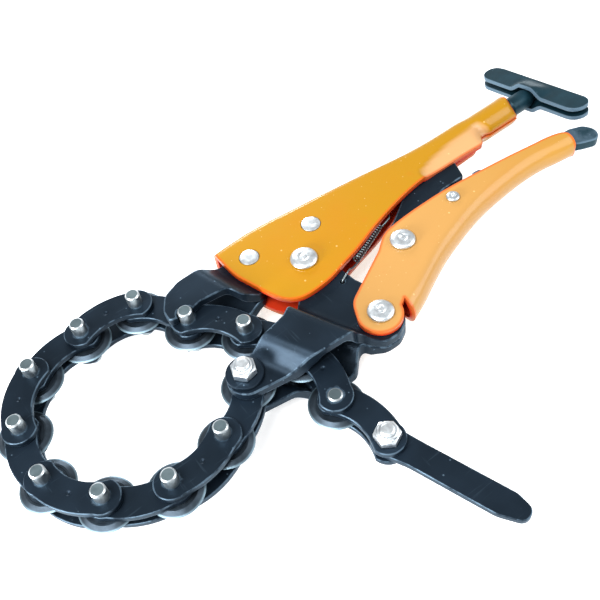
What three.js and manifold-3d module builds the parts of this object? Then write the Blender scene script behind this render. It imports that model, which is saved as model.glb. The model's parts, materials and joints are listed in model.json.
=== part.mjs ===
// Chain pipe cutter: a locking handle set with cranked jaws, and a chain whose pins carry cutter wheels.
// Millimetres. X runs along the handle and its screw, Z is up, and the main pivot is the origin
// until the last lines, which stand the tool on the ground plane. The tool is closed and locked.

import * as THREE from 'three';
import { mergeVertices } from 'three/addons/utils/BufferGeometryUtils.js';
import Module from 'manifold-3d';

const wasm = await Module();
wasm.setup();

const degree = Math.PI / 180;

// A place on the lower handle, from shares of its length and of its depth
function onHandle([along, down]) {
  return new THREE.Vector2(handleWebX + along * handleLength, handleOpenY - down * handleDepth);
}

// Fits
const clearance = 0.3;
const overrun = 3;

// Chain
const chainPitch = 25;
const pinRadius = 3;
const pinStand = 5.85;
const shortPinStand = 0.45;
const pinChamfer = 0.8;
const linkThickness = 2.5;
const linkEndRadius = 7;
const linkWaist = 12.2;
const linkBow = 3.1;
const wheelRadius = 11;
const wheelThickness = 2.7;
const wheelBevel = 2.4;
const wheelEdge = 0.3;

// Direction of each link, from the anchor round the ring to the pin in the hook, then along the tail
const ringHeadings = [-144.5, -171, 153, 123.5, 85, 53.5, 10, -6, -61];
const tailHeadings = [-52, -65, -96, -80.5];
const linkHeadings = [...ringHeadings, ...tailHeadings];
const tailHeading = -72;

// Tail lever
const tailLeverLength = 55;
const tailLeverWidth = 10.7;
const tailLeverShift = 0.95;

// Pressed steel handles
const sheet = 2.4;
const spineY = 30.7;
const shellFrontX = -27.1;
const shellLength = 161.1;
const bellyDepth = 46.8;
const spineCorner = 3.2;
const neckCorner = 5.4;
const tubeRadius = 7.1;
const tubeLength = 20;
const panelDepth = 0.5;
const handleEarRadius = 9.8;
const handleWebX = 18;
const handleOverhang = 2;
const handleDepth = 39.6;
const handleOpenY = -9.8;
const tubeEnd = shellFrontX + shellLength;
const tubeStart = tubeEnd - tubeLength;
const handleLength = tubeEnd + handleOverhang - handleWebX;

// Pivots and rivets
const handlePivot = new THREE.Vector2(6.1, -42.4);
const togglePivotShares = [0.1644, 0.2576];
const releasePivotShares = [0.4407, 0.1566];
const togglePivot = onHandle(togglePivotShares);
const releasePivot = onHandle(releasePivotShares);
const jawRivetFront = new THREE.Vector2(-16.7, 16.9);
const jawRivetRear = new THREE.Vector2(14.5, 14.2);
const rivetRadius = 4;
const flushRivetRadius = 4.3;
const releaseRivetRadius = 1.9;
const mainHeadRadius = 5.9;
const handleHeadRadius = 5.5;
const releaseHeadRadius = 3;
const headRise = 2;
const releaseHeadRise = 1.3;

// Jaws
const jawThickness = 4;
const anchor = new THREE.Vector2(-52.1, -31.6);
const jawEyeRadius = 9;
const handleEyeRadius = 11;
const anchorEyeRadius = 8;
const lowerCrankHeading = -156.5;
const rampFoot = 22.5;
const rampRun = 7.6;
const bulgeRun = 15.9;
const slopeRun = 6.6;
const bulgeClearance = 0.4;
const hookCrankHeading = -165;
const hookRampFoot = 23.3;
const hookRampRun = 7.8;
const notchClearance = 0.5;
const hookEyeRadius = 7;
const hookCorner = 8;
const springHoleRadius = 1.2;

// Anchor and tail fastenings
const nutAcross = 10;
const nutHeight = 5;
const boltHeadHeight = 4;
const boltPoint = 1;
const washerRadius = 7.5;
const washerThickness = 1.5;

// Toggle link and release lever
const toggleWidth = 7.6;
const toggleEyeRadius = 8;
const toggleCorner = 8;
const openPivotClearance = 1.6;
const releaseWidth = 4.8;
const releaseEyeRadius = 5;
const releaseOverhang = 19;
const releaseCorner = 5;

// Screw and its T handle
const screwY = 13.7;
const toggleTipGap = 22;
const threadRadius = 4;
const shankRadius = 4.7;
const shankGap = 1.2;
const barGap = 12.8;
const barLength = 63;
const barWidth = 13;
const barHeight = 6.3;
const barSheet = 1.8;
const barTurn = -12.4;

// Return spring
const springWire = 0.9;
const springRadius = 1.5;
const springPitch = 1.4;
const springCurls = 15;
const springLevel = 1.6;
const springHole = new THREE.Vector2(5.7, -18.5);
const springStart = new THREE.Vector2(18.6, -11.3);
const springLug = new THREE.Vector2(43.6, -0.7);
const springLugRadius = 1.5;

// Places along the screw and the release lever
const toggleTipX = tubeStart - toggleTipGap;
const barStart = tubeEnd + barGap;
const releaseReach = tubeEnd + handleOverhang + releaseOverhang - releasePivot.x;

// Levels through the stack, counted from the mid-plane of the chain
const flangeHalf = barHeight / 2;
const wheelHalf = wheelThickness / 2;
const innerLow = wheelHalf + clearance;
const innerHigh = innerLow + linkThickness;
const outerLow = innerHigh + clearance;
const outerHigh = outerLow + linkThickness;
const pinTop = outerHigh + pinStand;
const shortPinTop = outerHigh + shortPinStand;
const jawLow = clearance / 2;
const jawHigh = jawLow + jawThickness;
const wallInner = jawHigh + clearance;
const wallOuter = wallInner + sheet;
const hookLow = outerHigh + clearance;
const bulgeLow = pinTop + bulgeClearance;
const anchorLow = innerHigh + clearance;
const anchorHigh = anchorLow + jawThickness;
const pinBore = pinRadius + clearance;
const rivetBore = rivetRadius + clearance;

// Finishes
const finish = (color, roughness, metalness) => new THREE.MeshStandardMaterial({ color, roughness, metalness });
const orangePaint = () => finish(0xef7d14, 0.25, 0);
const blackSteel = () => finish(0x2b343c, 0.42, 0.8);
const wheelSteel = () => finish(0x4a5459, 0.35, 0.9);
const brightZinc = () => finish(0xd7dde2, 0.3, 0.9);
const blueBlack = () => finish(0x2c3d4c, 0.35, 0.8);
const springSteel = () => finish(0x3a3f42, 0.35, 0.9);

const group = new THREE.Group();

function addPiece(name, geometry, material, pivot = new THREE.Vector2(), turn = 0) {
  const mesh = new THREE.Mesh(geometry, material);
  mesh.name = name;
  mesh.position.set(pivot.x, pivot.y, 0);
  mesh.rotation.z = turn;
  group.add(mesh);
  return mesh;
}

function around(geometry, pivot) {
  return geometry.translate(-pivot.x, -pivot.y, 0);
}

// Solid bodies for joins and cuts
function toSolid(geometry) {
  const bare = geometry.index ? geometry.toNonIndexed() : geometry.clone();
  bare.deleteAttribute('normal');
  bare.deleteAttribute('uv');
  const merged = mergeVertices(bare, clearance / 1000);
  const solid = new wasm.Mesh({
    numProp: 3,
    vertProperties: new Float32Array(merged.attributes.position.array),
    triVerts: new Uint32Array(merged.index.array),
  });
  return new wasm.Manifold(solid);
}

function toGeometry(solid) {
  const result = solid.getMesh();
  const geometry = new THREE.BufferGeometry();
  geometry.setAttribute('position', new THREE.BufferAttribute(new Float32Array(result.vertProperties), 3));
  geometry.setIndex(new THREE.BufferAttribute(new Uint32Array(result.triVerts), 1));
  return geometry;
}

function mirrorZ(geometry) {
  const flipped = geometry.index ? geometry.toNonIndexed() : geometry.clone();
  flipped.scale(1, 1, -1);
  for (const key of Object.keys(flipped.attributes)) {
    const { array, itemSize } = flipped.attributes[key];
    for (let i = 0; i < array.length; i += 3 * itemSize) {
      for (let j = 0; j < itemSize; j += 1) {
        const kept = array[i + itemSize + j];
        array[i + itemSize + j] = array[i + 2 * itemSize + j];
        array[i + 2 * itemSize + j] = kept;
      }
    }
  }
  return flipped;
}

// Outline with a round of radius r at each corner, given as [x, y, r]
function rounded(corners, turnPerStep = 24 * degree) {
  const points = [];
  const count = corners.length;
  corners.forEach(([x, y, radius], i) => {
    const here = new THREE.Vector2(x, y);
    const [beforeX, beforeY] = corners[(i + count - 1) % count];
    const [afterX, afterY] = corners[(i + 1) % count];
    const back = new THREE.Vector2(beforeX, beforeY).sub(here);
    const forth = new THREE.Vector2(afterX, afterY).sub(here);
    const room = Math.min(back.length(), forth.length()) / 2;
    back.normalize();
    forth.normalize();
    const half = Math.acos(THREE.MathUtils.clamp(back.dot(forth), -1, 1)) / 2;
    const cut = Math.min(radius / Math.tan(half), room);
    const turn = Math.PI - 2 * half;
    if (!radius || turn < degree) {
      points.push(here);
      return;
    }
    const used = cut * Math.tan(half);
    const start = here.clone().addScaledVector(back, cut);
    const end = here.clone().addScaledVector(forth, cut);
    const middle = back.clone().add(forth).normalize().multiplyScalar(used / Math.sin(half)).add(here);
    const from = start.clone().sub(middle).angle();
    let sweep = end.clone().sub(middle).angle() - from;
    if (sweep > Math.PI) sweep -= 2 * Math.PI;
    if (sweep < -Math.PI) sweep += 2 * Math.PI;
    const steps = Math.max(1, Math.ceil(turn / turnPerStep));
    for (let k = 0; k <= steps; k += 1) {
      const angle = from + (sweep * k) / steps;
      points.push(new THREE.Vector2(middle.x + used * Math.cos(angle), middle.y + used * Math.sin(angle)));
    }
  });
  return points.filter((point, i) => point.distanceTo(points[(i + 1) % points.length]) > clearance / 100);
}

function slab(points, low, high, bores = [], sides = 6) {
  const shape = new THREE.Shape(points);
  for (const [x, y, radius] of bores) {
    shape.holes.push(new THREE.Path().absarc(x, y, radius, 0, 2 * Math.PI, true));
  }
  const options = { depth: high - low, bevelEnabled: false, steps: 1, curveSegments: sides };
  return new THREE.ExtrudeGeometry(shape, options).translate(0, 0, low);
}

// A body turned about an axis along Z, from its half section of [radius, level] points
function turned(profile, sides) {
  const points = profile.map(([radius, level]) => new THREE.Vector2(radius, level));
  return new THREE.LatheGeometry(points, sides).rotateX(Math.PI / 2);
}

// A body lofted through closed rings of equal count, listed so that its faces point out
function loft(rings) {
  const count = rings[0].length;
  const positions = rings.flat().flatMap((point) => [point.x, point.y, point.z]);
  const index = [];
  for (let i = 0; i + 1 < rings.length; i += 1) {
    for (let j = 0; j < count; j += 1) {
      const a = i * count + j;
      const b = i * count + ((j + 1) % count);
      index.push(a, b, b + count, a, b + count, a + count);
    }
  }
  const last = (rings.length - 1) * count;
  for (let j = 1; j + 1 < count; j += 1) {
    index.push(0, j + 1, j);
    index.push(last, last + j, last + j + 1);
  }
  const geometry = new THREE.BufferGeometry();
  geometry.setAttribute('position', new THREE.Float32BufferAttribute(positions, 3));
  geometry.setIndex(index);
  return geometry;
}

// Chain pins, from the anchor to the tail
const pins = [anchor.clone()];
for (const heading of linkHeadings) {
  const step = new THREE.Vector2(Math.cos(heading * degree), Math.sin(heading * degree));
  pins.push(pins[pins.length - 1].clone().addScaledVector(step, chainPitch));
}

// Link plate, bowed away from the inside of the ring
function linkOutline() {
  const shape = new THREE.Shape();
  const outside = linkBow + linkWaist / 2;
  const inside = linkBow - linkWaist / 2;
  shape.absarc(0, 0, linkEndRadius, Math.PI / 2, (3 * Math.PI) / 2, false);
  shape.quadraticCurveTo(chainPitch / 2, 2 * inside + linkEndRadius, chainPitch, -linkEndRadius);
  shape.absarc(chainPitch, 0, linkEndRadius, -Math.PI / 2, Math.PI / 2, false);
  shape.quadraticCurveTo(chainPitch / 2, 2 * outside - linkEndRadius, 0, linkEndRadius);
  const points = shape.getPoints(5);
  return points.filter((point, i) => point.distanceTo(points[(i + 1) % points.length]) > clearance / 100);
}

const bothBores = [
  [0, 0, pinBore],
  [chainPitch, 0, pinBore],
];

function pinBody(x, top) {
  const foot = -top;
  const slim = pinRadius - pinChamfer;
  const profile = [
    [0, foot],
    [slim, foot],
    [pinRadius, foot + pinChamfer],
    [pinRadius, top - pinChamfer],
    [slim, top],
    [0, top],
  ];
  return turned(profile, 12).translate(x, 0, 0);
}

function riveted(farTop) {
  const plateBody = slab(linkOutline(), outerLow, outerHigh);
  return toGeometry(
    toSolid(plateBody)
      .add(toSolid(mirrorZ(plateBody)))
      .add(toSolid(pinBody(0, pinTop)))
      .add(toSolid(pinBody(chainPitch, farTop))),
  );
}

// Cutter wheel with a sharp rim bevelled from both faces
function cutterWheel() {
  const flat = wheelRadius - wheelBevel;
  const profile = [
    [pinBore, -wheelHalf],
    [flat, -wheelHalf],
    [wheelRadius, -wheelEdge / 2],
    [wheelRadius, wheelEdge / 2],
    [flat, wheelHalf],
    [pinBore, wheelHalf],
    [pinBore, -wheelHalf],
  ];
  return turned(profile, 20);
}

const lastLink = linkHeadings.length - 1;
linkHeadings.forEach((heading, i) => {
  const turn = heading * degree;
  const pair = String(i / 2 + 1).padStart(2, '0');
  if (i % 2 === 0) {
    const plateBody = slab(linkOutline(), innerLow, innerHigh, bothBores);
    addPiece(`inner_plate_top_${pair}`, plateBody, blackSteel(), pins[i], turn);
    addPiece(`inner_plate_bottom_${pair}`, mirrorZ(plateBody), blackSteel(), pins[i], turn);
  } else {
    const farTop = i === lastLink - 1 ? shortPinTop : pinTop;
    const number = String((i + 1) / 2).padStart(2, '0');
    addPiece(`outer_link_${number}`, riveted(farTop), blackSteel(), pins[i], turn);
  }
  addPiece(`cutter_wheel_${String(i).padStart(2, '0')}`, cutterWheel(), wheelSteel(), pins[i], turn);
});

// Tail lever, pinched between the last pair of plates
const tailPin = pins[pins.length - 1];
const tailHalf = tailLeverWidth / 2;
const tailShares = [
  [0.2, -1, 1.67],
  [0.82, -1, 1.33],
  [1, -0.5, 0.42],
  [1, 0.55, 0.33],
  [0.87, 1, 0.67],
  [0.2, 1, 1.67],
];
const tailEye = linkEndRadius - clearance;
const tailOutline = rounded([
  [-tailEye, tailEye, tailEye],
  [-tailEye, -tailEye, tailEye],
  ...tailShares.map(([along, across, corner]) => [
    along * tailLeverLength,
    tailLeverShift + across * tailHalf,
    corner * tailLeverWidth,
  ]),
]);
addPiece(
  'tail_lever',
  slab(tailOutline, -wheelHalf, wheelHalf, [[0, 0, pinBore]]),
  blackSteel(),
  tailPin,
  tailHeading * degree,
);

// Hexagon nuts and bolts
const hexagonHeadings = [0, 60, 120, 180, 240, 300];

function hexagon(across) {
  const corner = across / Math.sqrt(3);
  return hexagonHeadings.map((heading) => {
    return new THREE.Vector2(corner * Math.cos(heading * degree), corner * Math.sin(heading * degree));
  });
}

function nut(low) {
  const crown = turned(
    [
      [0, low],
      [nutAcross / 2 + pinChamfer, low],
      [nutAcross / 2 + pinChamfer, low + nutHeight - pinChamfer / 2],
      [nutAcross / 2 - pinChamfer / 4, low + nutHeight],
      [0, low + nutHeight],
    ],
    12,
  );
  const prism = slab(hexagon(nutAcross), low, low + nutHeight, [[0, 0, pinBore]]);
  return toGeometry(toSolid(prism).intersect(toSolid(crown)));
}

function bolt(headLow, point) {
  const head = slab(hexagon(nutAcross), headLow, headLow + boltHeadHeight);
  const shank = turned(
    [
      [0, headLow + boltHeadHeight / 2],
      [pinRadius, headLow + boltHeadHeight / 2],
      [pinRadius, point - pinChamfer],
      [pinRadius - pinChamfer, point],
      [0, point],
    ],
    12,
  );
  return toGeometry(toSolid(head).add(toSolid(shank)));
}

function washer(low) {
  const ring = turned(
    [
      [pinBore, low],
      [washerRadius, low],
      [washerRadius, low + washerThickness],
      [pinBore, low + washerThickness],
      [pinBore, low],
    ],
    24,
  );
  return ring;
}

const washerLow = anchorHigh + clearance;
const anchorNutLow = washerLow + washerThickness + clearance;
const anchorHead = -(washerLow + washerThickness + clearance + boltHeadHeight);
addPiece('anchor_bolt', bolt(anchorHead, anchorNutLow + nutHeight + boltPoint), brightZinc(), anchor);
addPiece('anchor_nut', nut(anchorNutLow), brightZinc(), anchor, 10 * degree);
addPiece('anchor_washer_top', washer(washerLow), blackSteel(), anchor);
addPiece('anchor_washer_bottom', washer(-washerLow - washerThickness), blackSteel(), anchor);

const tailNutLow = innerHigh + clearance;
const tailHead = -(innerHigh + clearance + boltHeadHeight);
addPiece('tail_bolt', bolt(tailHead, tailNutLow + nutHeight + boltPoint), brightZinc(), tailPin);
addPiece('tail_nut', nut(tailNutLow), brightZinc(), tailPin, 25 * degree);

// A plate of even thickness cranked along one heading: a plan outline cut from a bent strip.
// The strip's upper face runs through the given [distance, level] points.
function bentStrip(upper, thickness, heading, reach) {
  const normals = upper.slice(1).map(([u, z], i) => {
    const run = new THREE.Vector2(u - upper[i][0], z - upper[i][1]).normalize();
    return new THREE.Vector2(-run.y, run.x);
  });
  const lower = upper.map(([u, z], i) => {
    const before = normals[Math.max(i - 1, 0)];
    const after = normals[Math.min(i, normals.length - 1)];
    const mitre = before.clone().add(after);
    mitre.multiplyScalar((2 * thickness) / mitre.lengthSq());
    return new THREE.Vector2(u - mitre.x, z - mitre.y);
  });
  const outline = [...upper.map(([u, z]) => new THREE.Vector2(u, z)), ...lower.reverse()];
  const strip = new THREE.ExtrudeGeometry(new THREE.Shape(outline), {
    depth: 2 * reach,
    bevelEnabled: false,
    steps: 1,
  });
  return strip.translate(0, 0, -reach).rotateX(Math.PI / 2).rotateZ(heading * degree);
}

function crankedPlate(outline, bores, upper, heading, reach) {
  const high = Math.max(...upper.map(([, z]) => z)) + overrun;
  const plan = slab(outline, jawLow - overrun, high, bores);
  return toSolid(plan).intersect(toSolid(bentStrip(upper, jawThickness, heading, reach)));
}

// Lower jaw: flat round the main and handle pivots, then bulged clear of the chain's pins, then
// stepped down to the anchor. Corners are shares of the reach from the main pivot to the anchor.
const jawReach = anchor.length();
const lowerJawShares = [
  [-0.29, -0.295],
  [-0.45, -0.4],
  [-0.61, -0.43],
];
const lowerJawTailShares = [
  [-0.64, -0.71],
  [-0.47, -0.775],
  [-0.2, -0.79],
  [-0.115, -0.73],
];
const handleEyeShares = [
  [-0.98, -0.58, 0.4],
  [-0.58, -1, 0.5],
  [0.05, -1.02, 0.6],
  [0.58, -0.74, 0.5],
  [0.84, -0.05, 0.5],
  [0.6, 0.95, 0.6],
  [0.52, 1.6, 0.3],
  [0.4, 1.95, 0.3],
];
const lowerJawOutline = rounded([
  [jawEyeRadius, -jawEyeRadius / 2, jawEyeRadius / 2],
  [jawEyeRadius, jawEyeRadius, jawEyeRadius],
  [-jawEyeRadius, jawEyeRadius, jawEyeRadius],
  [-jawEyeRadius, -jawEyeRadius, jawEyeRadius],
  ...lowerJawShares.map(([x, y]) => [x * jawReach, y * jawReach, jawEyeRadius]),
  [anchor.x - anchorEyeRadius, anchor.y + anchorEyeRadius * 0.75, anchorEyeRadius],
  [anchor.x - anchorEyeRadius, anchor.y - anchorEyeRadius, anchorEyeRadius],
  ...lowerJawTailShares.map(([x, y]) => [x * jawReach, y * jawReach, anchorEyeRadius / 2]),
  ...handleEyeShares.map(([x, y, r]) => [
    handlePivot.x + x * handleEyeRadius,
    handlePivot.y + y * handleEyeRadius,
    r * handleEyeRadius,
  ]),
]);
const lowerJawBores = [
  [0, 0, rivetBore],
  [handlePivot.x, handlePivot.y, rivetBore],
  [anchor.x, anchor.y, pinBore],
];
const rampTop = rampFoot + rampRun;
const slopeTop = rampTop + bulgeRun;
const slopeFoot = slopeTop + slopeRun;
const bulgeHigh = bulgeLow + jawThickness;
const lowerJawStrip = [
  [-2 * jawReach, jawHigh],
  [rampFoot, jawHigh],
  [rampTop, bulgeHigh],
  [slopeTop, bulgeHigh],
  [slopeFoot, anchorHigh],
  [2 * jawReach, anchorHigh],
];
const lowerJawSolid = crankedPlate(lowerJawOutline, lowerJawBores, lowerJawStrip, lowerCrankHeading, 2 * jawReach);
const springBore = turned(
  [
    [0, jawLow - overrun],
    [springHoleRadius, jawLow - overrun],
    [springHoleRadius, jawHigh + overrun],
    [0, jawHigh + overrun],
  ],
  8,
).translate(springHole.x, springHole.y, 0);
addPiece('lower_jaw_plate_top', toGeometry(lowerJawSolid.subtract(toSolid(springBore))), blackSteel());
addPiece('lower_jaw_plate_bottom', mirrorZ(toGeometry(lowerJawSolid)), blackSteel());

// Upper jaw: riveted in the front of the shell, then stepped out to a hook that holds one chain pin
const hookPin = pins[ringHeadings.length];
const hookReach = hookPin.length();
const notchRadius = pinRadius + notchClearance;
const hookBackShares = [
  [-0.62, 0.115, 0.5],
  [-0.575, -0.012, 0.38],
  [-0.41, -0.02, 0.5],
  [-0.27, 0.16, 0.75],
  [0.15, 0.18, 0.5],
  [0.24, 0.125, 0.5],
];
const hookTopShares = [
  [-0.6, 0.425, 1],
  [-0.88, 0.42, 1],
  [-1.03, 0.365, 1],
  [-1.115, 0.24, 1],
];
const upperJawOutline = rounded([
  [hookPin.x + notchRadius, hookPin.y, 0],
  [hookPin.x + notchRadius * 2.2, hookPin.y + notchRadius * 0.3, notchRadius / 2],
  ...hookBackShares.map(([x, y, corner]) => [x * hookReach, y * hookReach, corner * hookCorner]),
  [jawRivetRear.x + flushRivetRadius * 1.7, jawRivetRear.y - flushRivetRadius * 1.7, flushRivetRadius],
  [jawRivetRear.x + flushRivetRadius * 1.7, jawRivetRear.y + flushRivetRadius * 1.7, flushRivetRadius],
  ...hookTopShares.map(([x, y, corner]) => [x * hookReach, y * hookReach, corner * hookCorner]),
  [hookPin.x - hookEyeRadius, hookPin.y + notchClearance, notchRadius / 2],
  [hookPin.x - notchRadius, hookPin.y, 0],
]);
const upperJawBores = [
  [jawRivetFront.x, jawRivetFront.y, flushRivetRadius + clearance],
  [jawRivetRear.x, jawRivetRear.y, flushRivetRadius + clearance],
];
const upperJawStrip = [
  [-2 * hookReach, jawHigh],
  [hookRampFoot, jawHigh],
  [hookRampFoot + hookRampRun, hookLow + jawThickness],
  [2 * hookReach, hookLow + jawThickness],
];
const notch = turned(
  [
    [0, jawLow - overrun],
    [notchRadius, jawLow - overrun],
    [notchRadius, hookLow + jawThickness + overrun],
    [0, hookLow + jawThickness + overrun],
  ],
  16,
).translate(hookPin.x, hookPin.y, 0);
const upperJawSolid = crankedPlate(upperJawOutline, upperJawBores, upperJawStrip, hookCrankHeading, 2 * hookReach);
const upperJaw = toGeometry(upperJawSolid.subtract(toSolid(notch)));
addPiece('upper_jaw_plate_top', upperJaw, blackSteel());
addPiece('upper_jaw_plate_bottom', mirrorZ(upperJaw), blackSteel());

// Section of a folded handle across X: two walls and a rounded back, open on the other side.
// The open edges of the upper and the lower wall lie at their own Y.
function foldRing(x, backY, upperY, lowerY, half, corner) {
  const out = Math.sign(backY - upperY);
  const [first, second] = out > 0 ? [lowerY, upperY] : [upperY, lowerY];
  const points = [new THREE.Vector3(x, first, -out * half), new THREE.Vector3(x, second, out * half)];
  const steps = 4;
  for (const side of [1, -1]) {
    for (let k = 0; k <= steps; k += 1) {
      const share = side > 0 ? k / steps : 1 - k / steps;
      if (side < 0 && k === 0 && corner === half) continue;
      const angle = (share * Math.PI) / 2;
      const y = backY - out * corner * (1 - Math.sin(angle));
      const z = side * (half - corner * (1 - Math.cos(angle)));
      points.push(new THREE.Vector3(x, y, out * z));
    }
  }
  return points.reverse();
}

function foldedShell(stations, half, wall) {
  const outside = stations.map(([x, backY, upperY, lowerY, corner]) => {
    return foldRing(x, backY, upperY, lowerY, half, corner);
  });
  const inside = stations.map(([x, backY, upperY, lowerY, corner], i) => {
    const out = Math.sign(backY - upperY);
    const start = i === 0 ? -overrun : 0;
    const end = i === stations.length - 1 ? overrun : 0;
    const past = -out * overrun;
    const inner = corner === half ? half - wall : Math.max(corner - wall, wall / 3);
    return foldRing(x + start + end, backY - out * wall, upperY + past, lowerY + past, half - wall, inner);
  });
  return toSolid(loft(outside)).subtract(toSolid(loft(inside)));
}

// Main shell, from the nose to the tube: shares of its length, then of its depth for the back and
// for the open edges of the upper and lower walls
const shellStationShares = [
  [0, 0.017, 0.229, 0.207],
  [0.003, 0.015, 0.389, 0.357],
  [0.016, 0.011, 0.553, 0.538],
  [0.035, 0.006, 0.771, 0.741],
  [0.052, 0.004, 0.893, 0.848],
  [0.078, 0.002, 0.968, 0.902],
  [0.114, 0, 0.998, 0.934],
  [0.181, 0.017, 1, 0.938],
  [0.246, 0.045, 0.959, 0.897],
  [0.303, 0.066, 0.904, 0.844],
  [0.392, 0.103, 0.801, 0.763],
  [0.491, 0.147, 0.677, 0.652],
  [0.584, 0.184, 0.624, 0.583],
  [0.665, 0.205, 0.624, 0.558],
  [0.758, 0.212, 0.626, 0.543],
  [0.826, 0.212, 0.637, 0.538],
  [0.863, 0.212, 0.645, 0.534],
  [0.891, 0.212, 0.613, 0.524],
  [0.911, 0.212, 0.588, 0.509],
];
const shellStations = shellStationShares.map(([along, back, upper, lower]) => {
  const blend = THREE.MathUtils.smoothstep(along, 0.45, 0.75);
  return [
    shellFrontX + along * shellLength,
    spineY - back * bellyDepth,
    spineY - upper * bellyDepth,
    spineY - lower * bellyDepth,
    THREE.MathUtils.lerp(spineCorner, neckCorner, blend),
  ];
});

function alongScrew(profile, sides) {
  const body = turned(profile, sides);
  return body.rotateY(Math.PI / 2).translate(0, screwY, 0);
}

const tubeBody = alongScrew(
  [
    [0, tubeStart - tubeRadius],
    [tubeRadius - sheet, tubeStart - tubeRadius],
    [tubeRadius, tubeStart],
    [tubeRadius, tubeEnd - sheet / 3],
    [tubeRadius - sheet / 3, tubeEnd],
    [0, tubeEnd],
  ],
  20,
);
const tubeBore = alongScrew(
  [
    [0, tubeStart - 2 * tubeRadius],
    [threadRadius + clearance, tubeStart - 2 * tubeRadius],
    [threadRadius + clearance, tubeEnd + overrun],
    [0, tubeEnd + overrun],
  ],
  16,
);

// Shallow pressed flat on each side of the neck
const panelShares = [
  [0.61, 0.505],
  [0.75, 0.41],
  [0.885, 0.4],
  [0.895, 0.56],
  [0.7, 0.578],
  [0.615, 0.58],
];
const panelOutline = rounded(
  panelShares.map(([along, down]) => [shellFrontX + along * shellLength, spineY - down * bellyDepth, sheet]),
);
const panel = slab(panelOutline, wallOuter - panelDepth, wallOuter + overrun);

function boreThrough(centre, radius) {
  return toSolid(
    turned(
      [
        [0, -wallOuter - overrun],
        [radius, -wallOuter - overrun],
        [radius, wallOuter + overrun],
        [0, wallOuter + overrun],
      ],
      16,
    ).translate(centre.x, centre.y, 0),
  );
}

const lugBody = turned(
  [
    [0, -wallInner - sheet / 2],
    [springLugRadius, -wallInner - sheet / 2],
    [springLugRadius, springLevel + springWire],
    [0, springLevel + springWire],
  ],
  10,
).translate(springLug.x, springLug.y, 0);

const shell = foldedShell(shellStations, wallOuter, sheet)
  .add(toSolid(tubeBody))
  .subtract(toSolid(tubeBore))
  .subtract(toSolid(panel))
  .subtract(toSolid(mirrorZ(panel)))
  .subtract(boreThrough(new THREE.Vector2(), rivetBore))
  .subtract(boreThrough(jawRivetFront, flushRivetRadius + clearance))
  .subtract(boreThrough(jawRivetRear, flushRivetRadius + clearance))
  .add(toSolid(lugBody));
addPiece('fixed_handle', toGeometry(shell), orangePaint());

// Lower handle, from the web's open end to the tip: shares of its length, then of its depth for the
// open edges and for the back, which is a half round
const handleStationShares = [
  [0, 0.333, 1.005],
  [0.068, 0.197, 0.922],
  [0.133, 0.061, 0.826],
  [0.195, 0.02, 0.737],
  [0.271, 0.003, 0.641],
  [0.356, 0, 0.558],
  [0.432, 0.005, 0.49],
  [0.525, 0.028, 0.429],
  [0.619, 0.061, 0.394],
  [0.72, 0.098, 0.371],
  [0.797, 0.131, 0.371],
  [0.864, 0.162, 0.386],
  [0.932, 0.194, 0.422],
  [0.983, 0.245, 0.444],
  [1, 0.308, 0.442],
];
const handleStations = handleStationShares.map(([along, open, back]) => [
  handleWebX + along * handleLength,
  handleOpenY - back * handleDepth,
  handleOpenY - open * handleDepth,
  handleOpenY - open * handleDepth,
  wallOuter,
]);
const earJoinShares = [
  [0.068, 0.197],
  [0.13, 0.45],
  [0.068, 0.74],
];
const earOutline = rounded([
  ...earJoinShares
    .map((shares) => [...onHandle(shares).toArray(), 0])
    .reverse(),
  [handlePivot.x - handleEarRadius * 0.55, handlePivot.y + handleEarRadius * 1.15, handleEarRadius],
  [handlePivot.x - handleEarRadius, handlePivot.y - handleEarRadius, handleEarRadius],
  [handlePivot.x + handleEarRadius, handlePivot.y - handleEarRadius, handleEarRadius],
  [handlePivot.x + handleEarRadius * 1.05, handlePivot.y, handleEarRadius],
]);
const ear = slab(earOutline, wallInner, wallOuter);
const lowerHandle = foldedShell(handleStations, wallOuter, sheet)
  .add(toSolid(ear))
  .add(toSolid(mirrorZ(ear)))
  .subtract(boreThrough(handlePivot, rivetBore))
  .subtract(boreThrough(togglePivot, rivetBore))
  .subtract(boreThrough(releasePivot, releaseRivetRadius + clearance));
addPiece('lower_handle', around(toGeometry(lowerHandle), handlePivot), orangePaint(), handlePivot);

// Rivets
function domedRivet(shankR, headR, rise) {
  const seatLevel = wallOuter + clearance;
  const dome = [
    [headR, seatLevel],
    [headR, seatLevel + rise * 0.35],
    [headR * 0.82, seatLevel + rise * 0.8],
    [headR * 0.5, seatLevel + rise],
  ];
  const profile = [
    [0, -seatLevel - rise],
    ...dome.map(([radius, level]) => [radius, -level]).reverse(),
    [shankR, -seatLevel],
    [shankR, seatLevel],
    ...dome,
    [0, seatLevel + rise],
  ];
  return turned(profile, 16);
}

function flushRivet() {
  const top = wallOuter + clearance;
  const edge = flushRivetRadius - clearance;
  return turned(
    [
      [0, -top],
      [edge, -top],
      [flushRivetRadius, -wallOuter],
      [flushRivetRadius, wallOuter],
      [edge, top],
      [0, top],
    ],
    20,
  );
}

addPiece('main_pivot_rivet', domedRivet(rivetRadius, mainHeadRadius, headRise), brightZinc());
addPiece('jaw_rivet_front', flushRivet(), brightZinc(), jawRivetFront);
addPiece('jaw_rivet_rear', flushRivet(), brightZinc(), jawRivetRear);
addPiece('handle_pivot_rivet', domedRivet(rivetRadius, handleHeadRadius, headRise), brightZinc(), handlePivot);
addPiece('toggle_rivet', domedRivet(rivetRadius, handleHeadRadius, headRise), brightZinc(), togglePivot);
addPiece(
  'release_rivet',
  domedRivet(releaseRivetRadius, releaseHeadRadius, releaseHeadRise),
  brightZinc(),
  releasePivot,
);

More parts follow.
